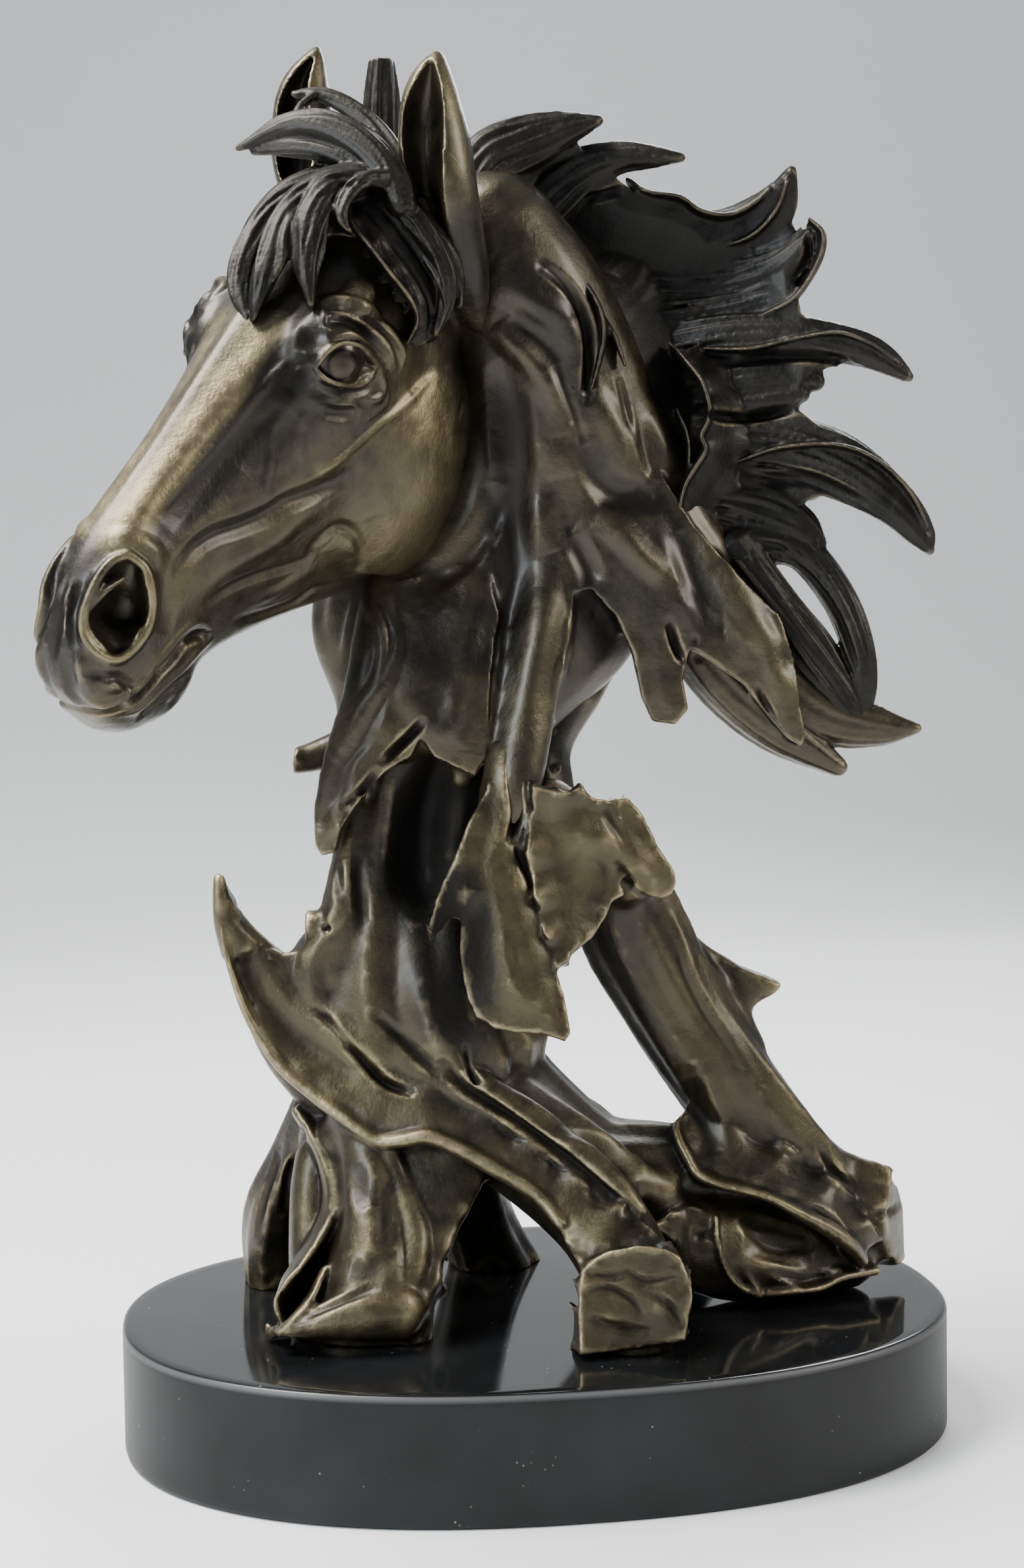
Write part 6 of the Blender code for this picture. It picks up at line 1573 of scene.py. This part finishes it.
def addStage():
    scene = bpy.context.scene
    world = bpy.data.worlds.new("studio")
    scene.world = world
    world.use_nodes = True
    sky = world.node_tree.nodes["Background"]
    sky.inputs["Color"].default_value = studio["sky"]
    sky.inputs["Strength"].default_value = studio["skyStrength"]
    for name, (place, power, size, colour) in studio["lamps"].items():
        light = bpy.data.lights.new(name, "AREA")
        light.energy, light.size, light.color = power, size, colour
        lamp = bpy.data.objects.new(name, light)
        lamp.location = place
        lamp.rotation_euler = (Vector(studio["lookAt"]) - Vector(place)).to_track_quat("-Z", "Y").to_euler()
        scene.collection.objects.link(lamp)


# The camera stands at the drawing's eye, pitched down and leaning a little, in degrees
photoCamera = {"pitch": 3.4, "lean": 0.8, "lens": 52.94, "sensor": 36.0}


def addCamera():
    pitch, lean = math.radians(photoCamera["pitch"]), math.radians(photoCamera["lean"])
    forward = Vector((0, math.cos(pitch), -math.sin(pitch)))
    up = Vector((0, math.sin(pitch), math.cos(pitch)))
    right = Vector((1, 0, 0))
    across = right * math.cos(lean) - up * math.sin(lean)
    upright = right * math.sin(lean) + up * math.cos(lean)
    lens = bpy.data.cameras.new("photo_camera")
    lens.sensor_fit = "VERTICAL"
    lens.sensor_height = photoCamera["sensor"]
    lens.lens = photoCamera["lens"]
    camera = bpy.data.objects.new("photo_camera", lens)
    place = Matrix((across, upright, -forward)).transposed().to_4x4()
    place.translation = eye * 0.001
    camera.matrix_world = Matrix.Rotation(figureTurn, 4, "Z") @ place
    bpy.context.scene.collection.objects.link(camera)
    bpy.context.scene.camera = camera


bronzeHead, nearEye = buildHead()
pieces = {"face": bronzeHead, "neck": buildNeck(), "forelock": buildForelock(), "mane": buildMane(),
          "roots": buildRoots()}
places, shelter = findShelter(pieces.values())
patinaTree = patinaGroup()
for finish, piece in pieces.items():
    addMasks(piece, places, shelter)
    piece.data.materials.append(bronzeMaterial(finish, patinaTree))
    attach(piece, "root")
    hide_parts("bronze_horse")
eyes = buildEyes(*nearEye)
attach(eyes, "root")
plinth = buildPlinth()
plinth.data.materials.append(marbleMaterial())
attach(plinth, "root")
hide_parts("marble_plinth")
addSweep()
addStage()
addCamera()
print("scene: stage and camera")
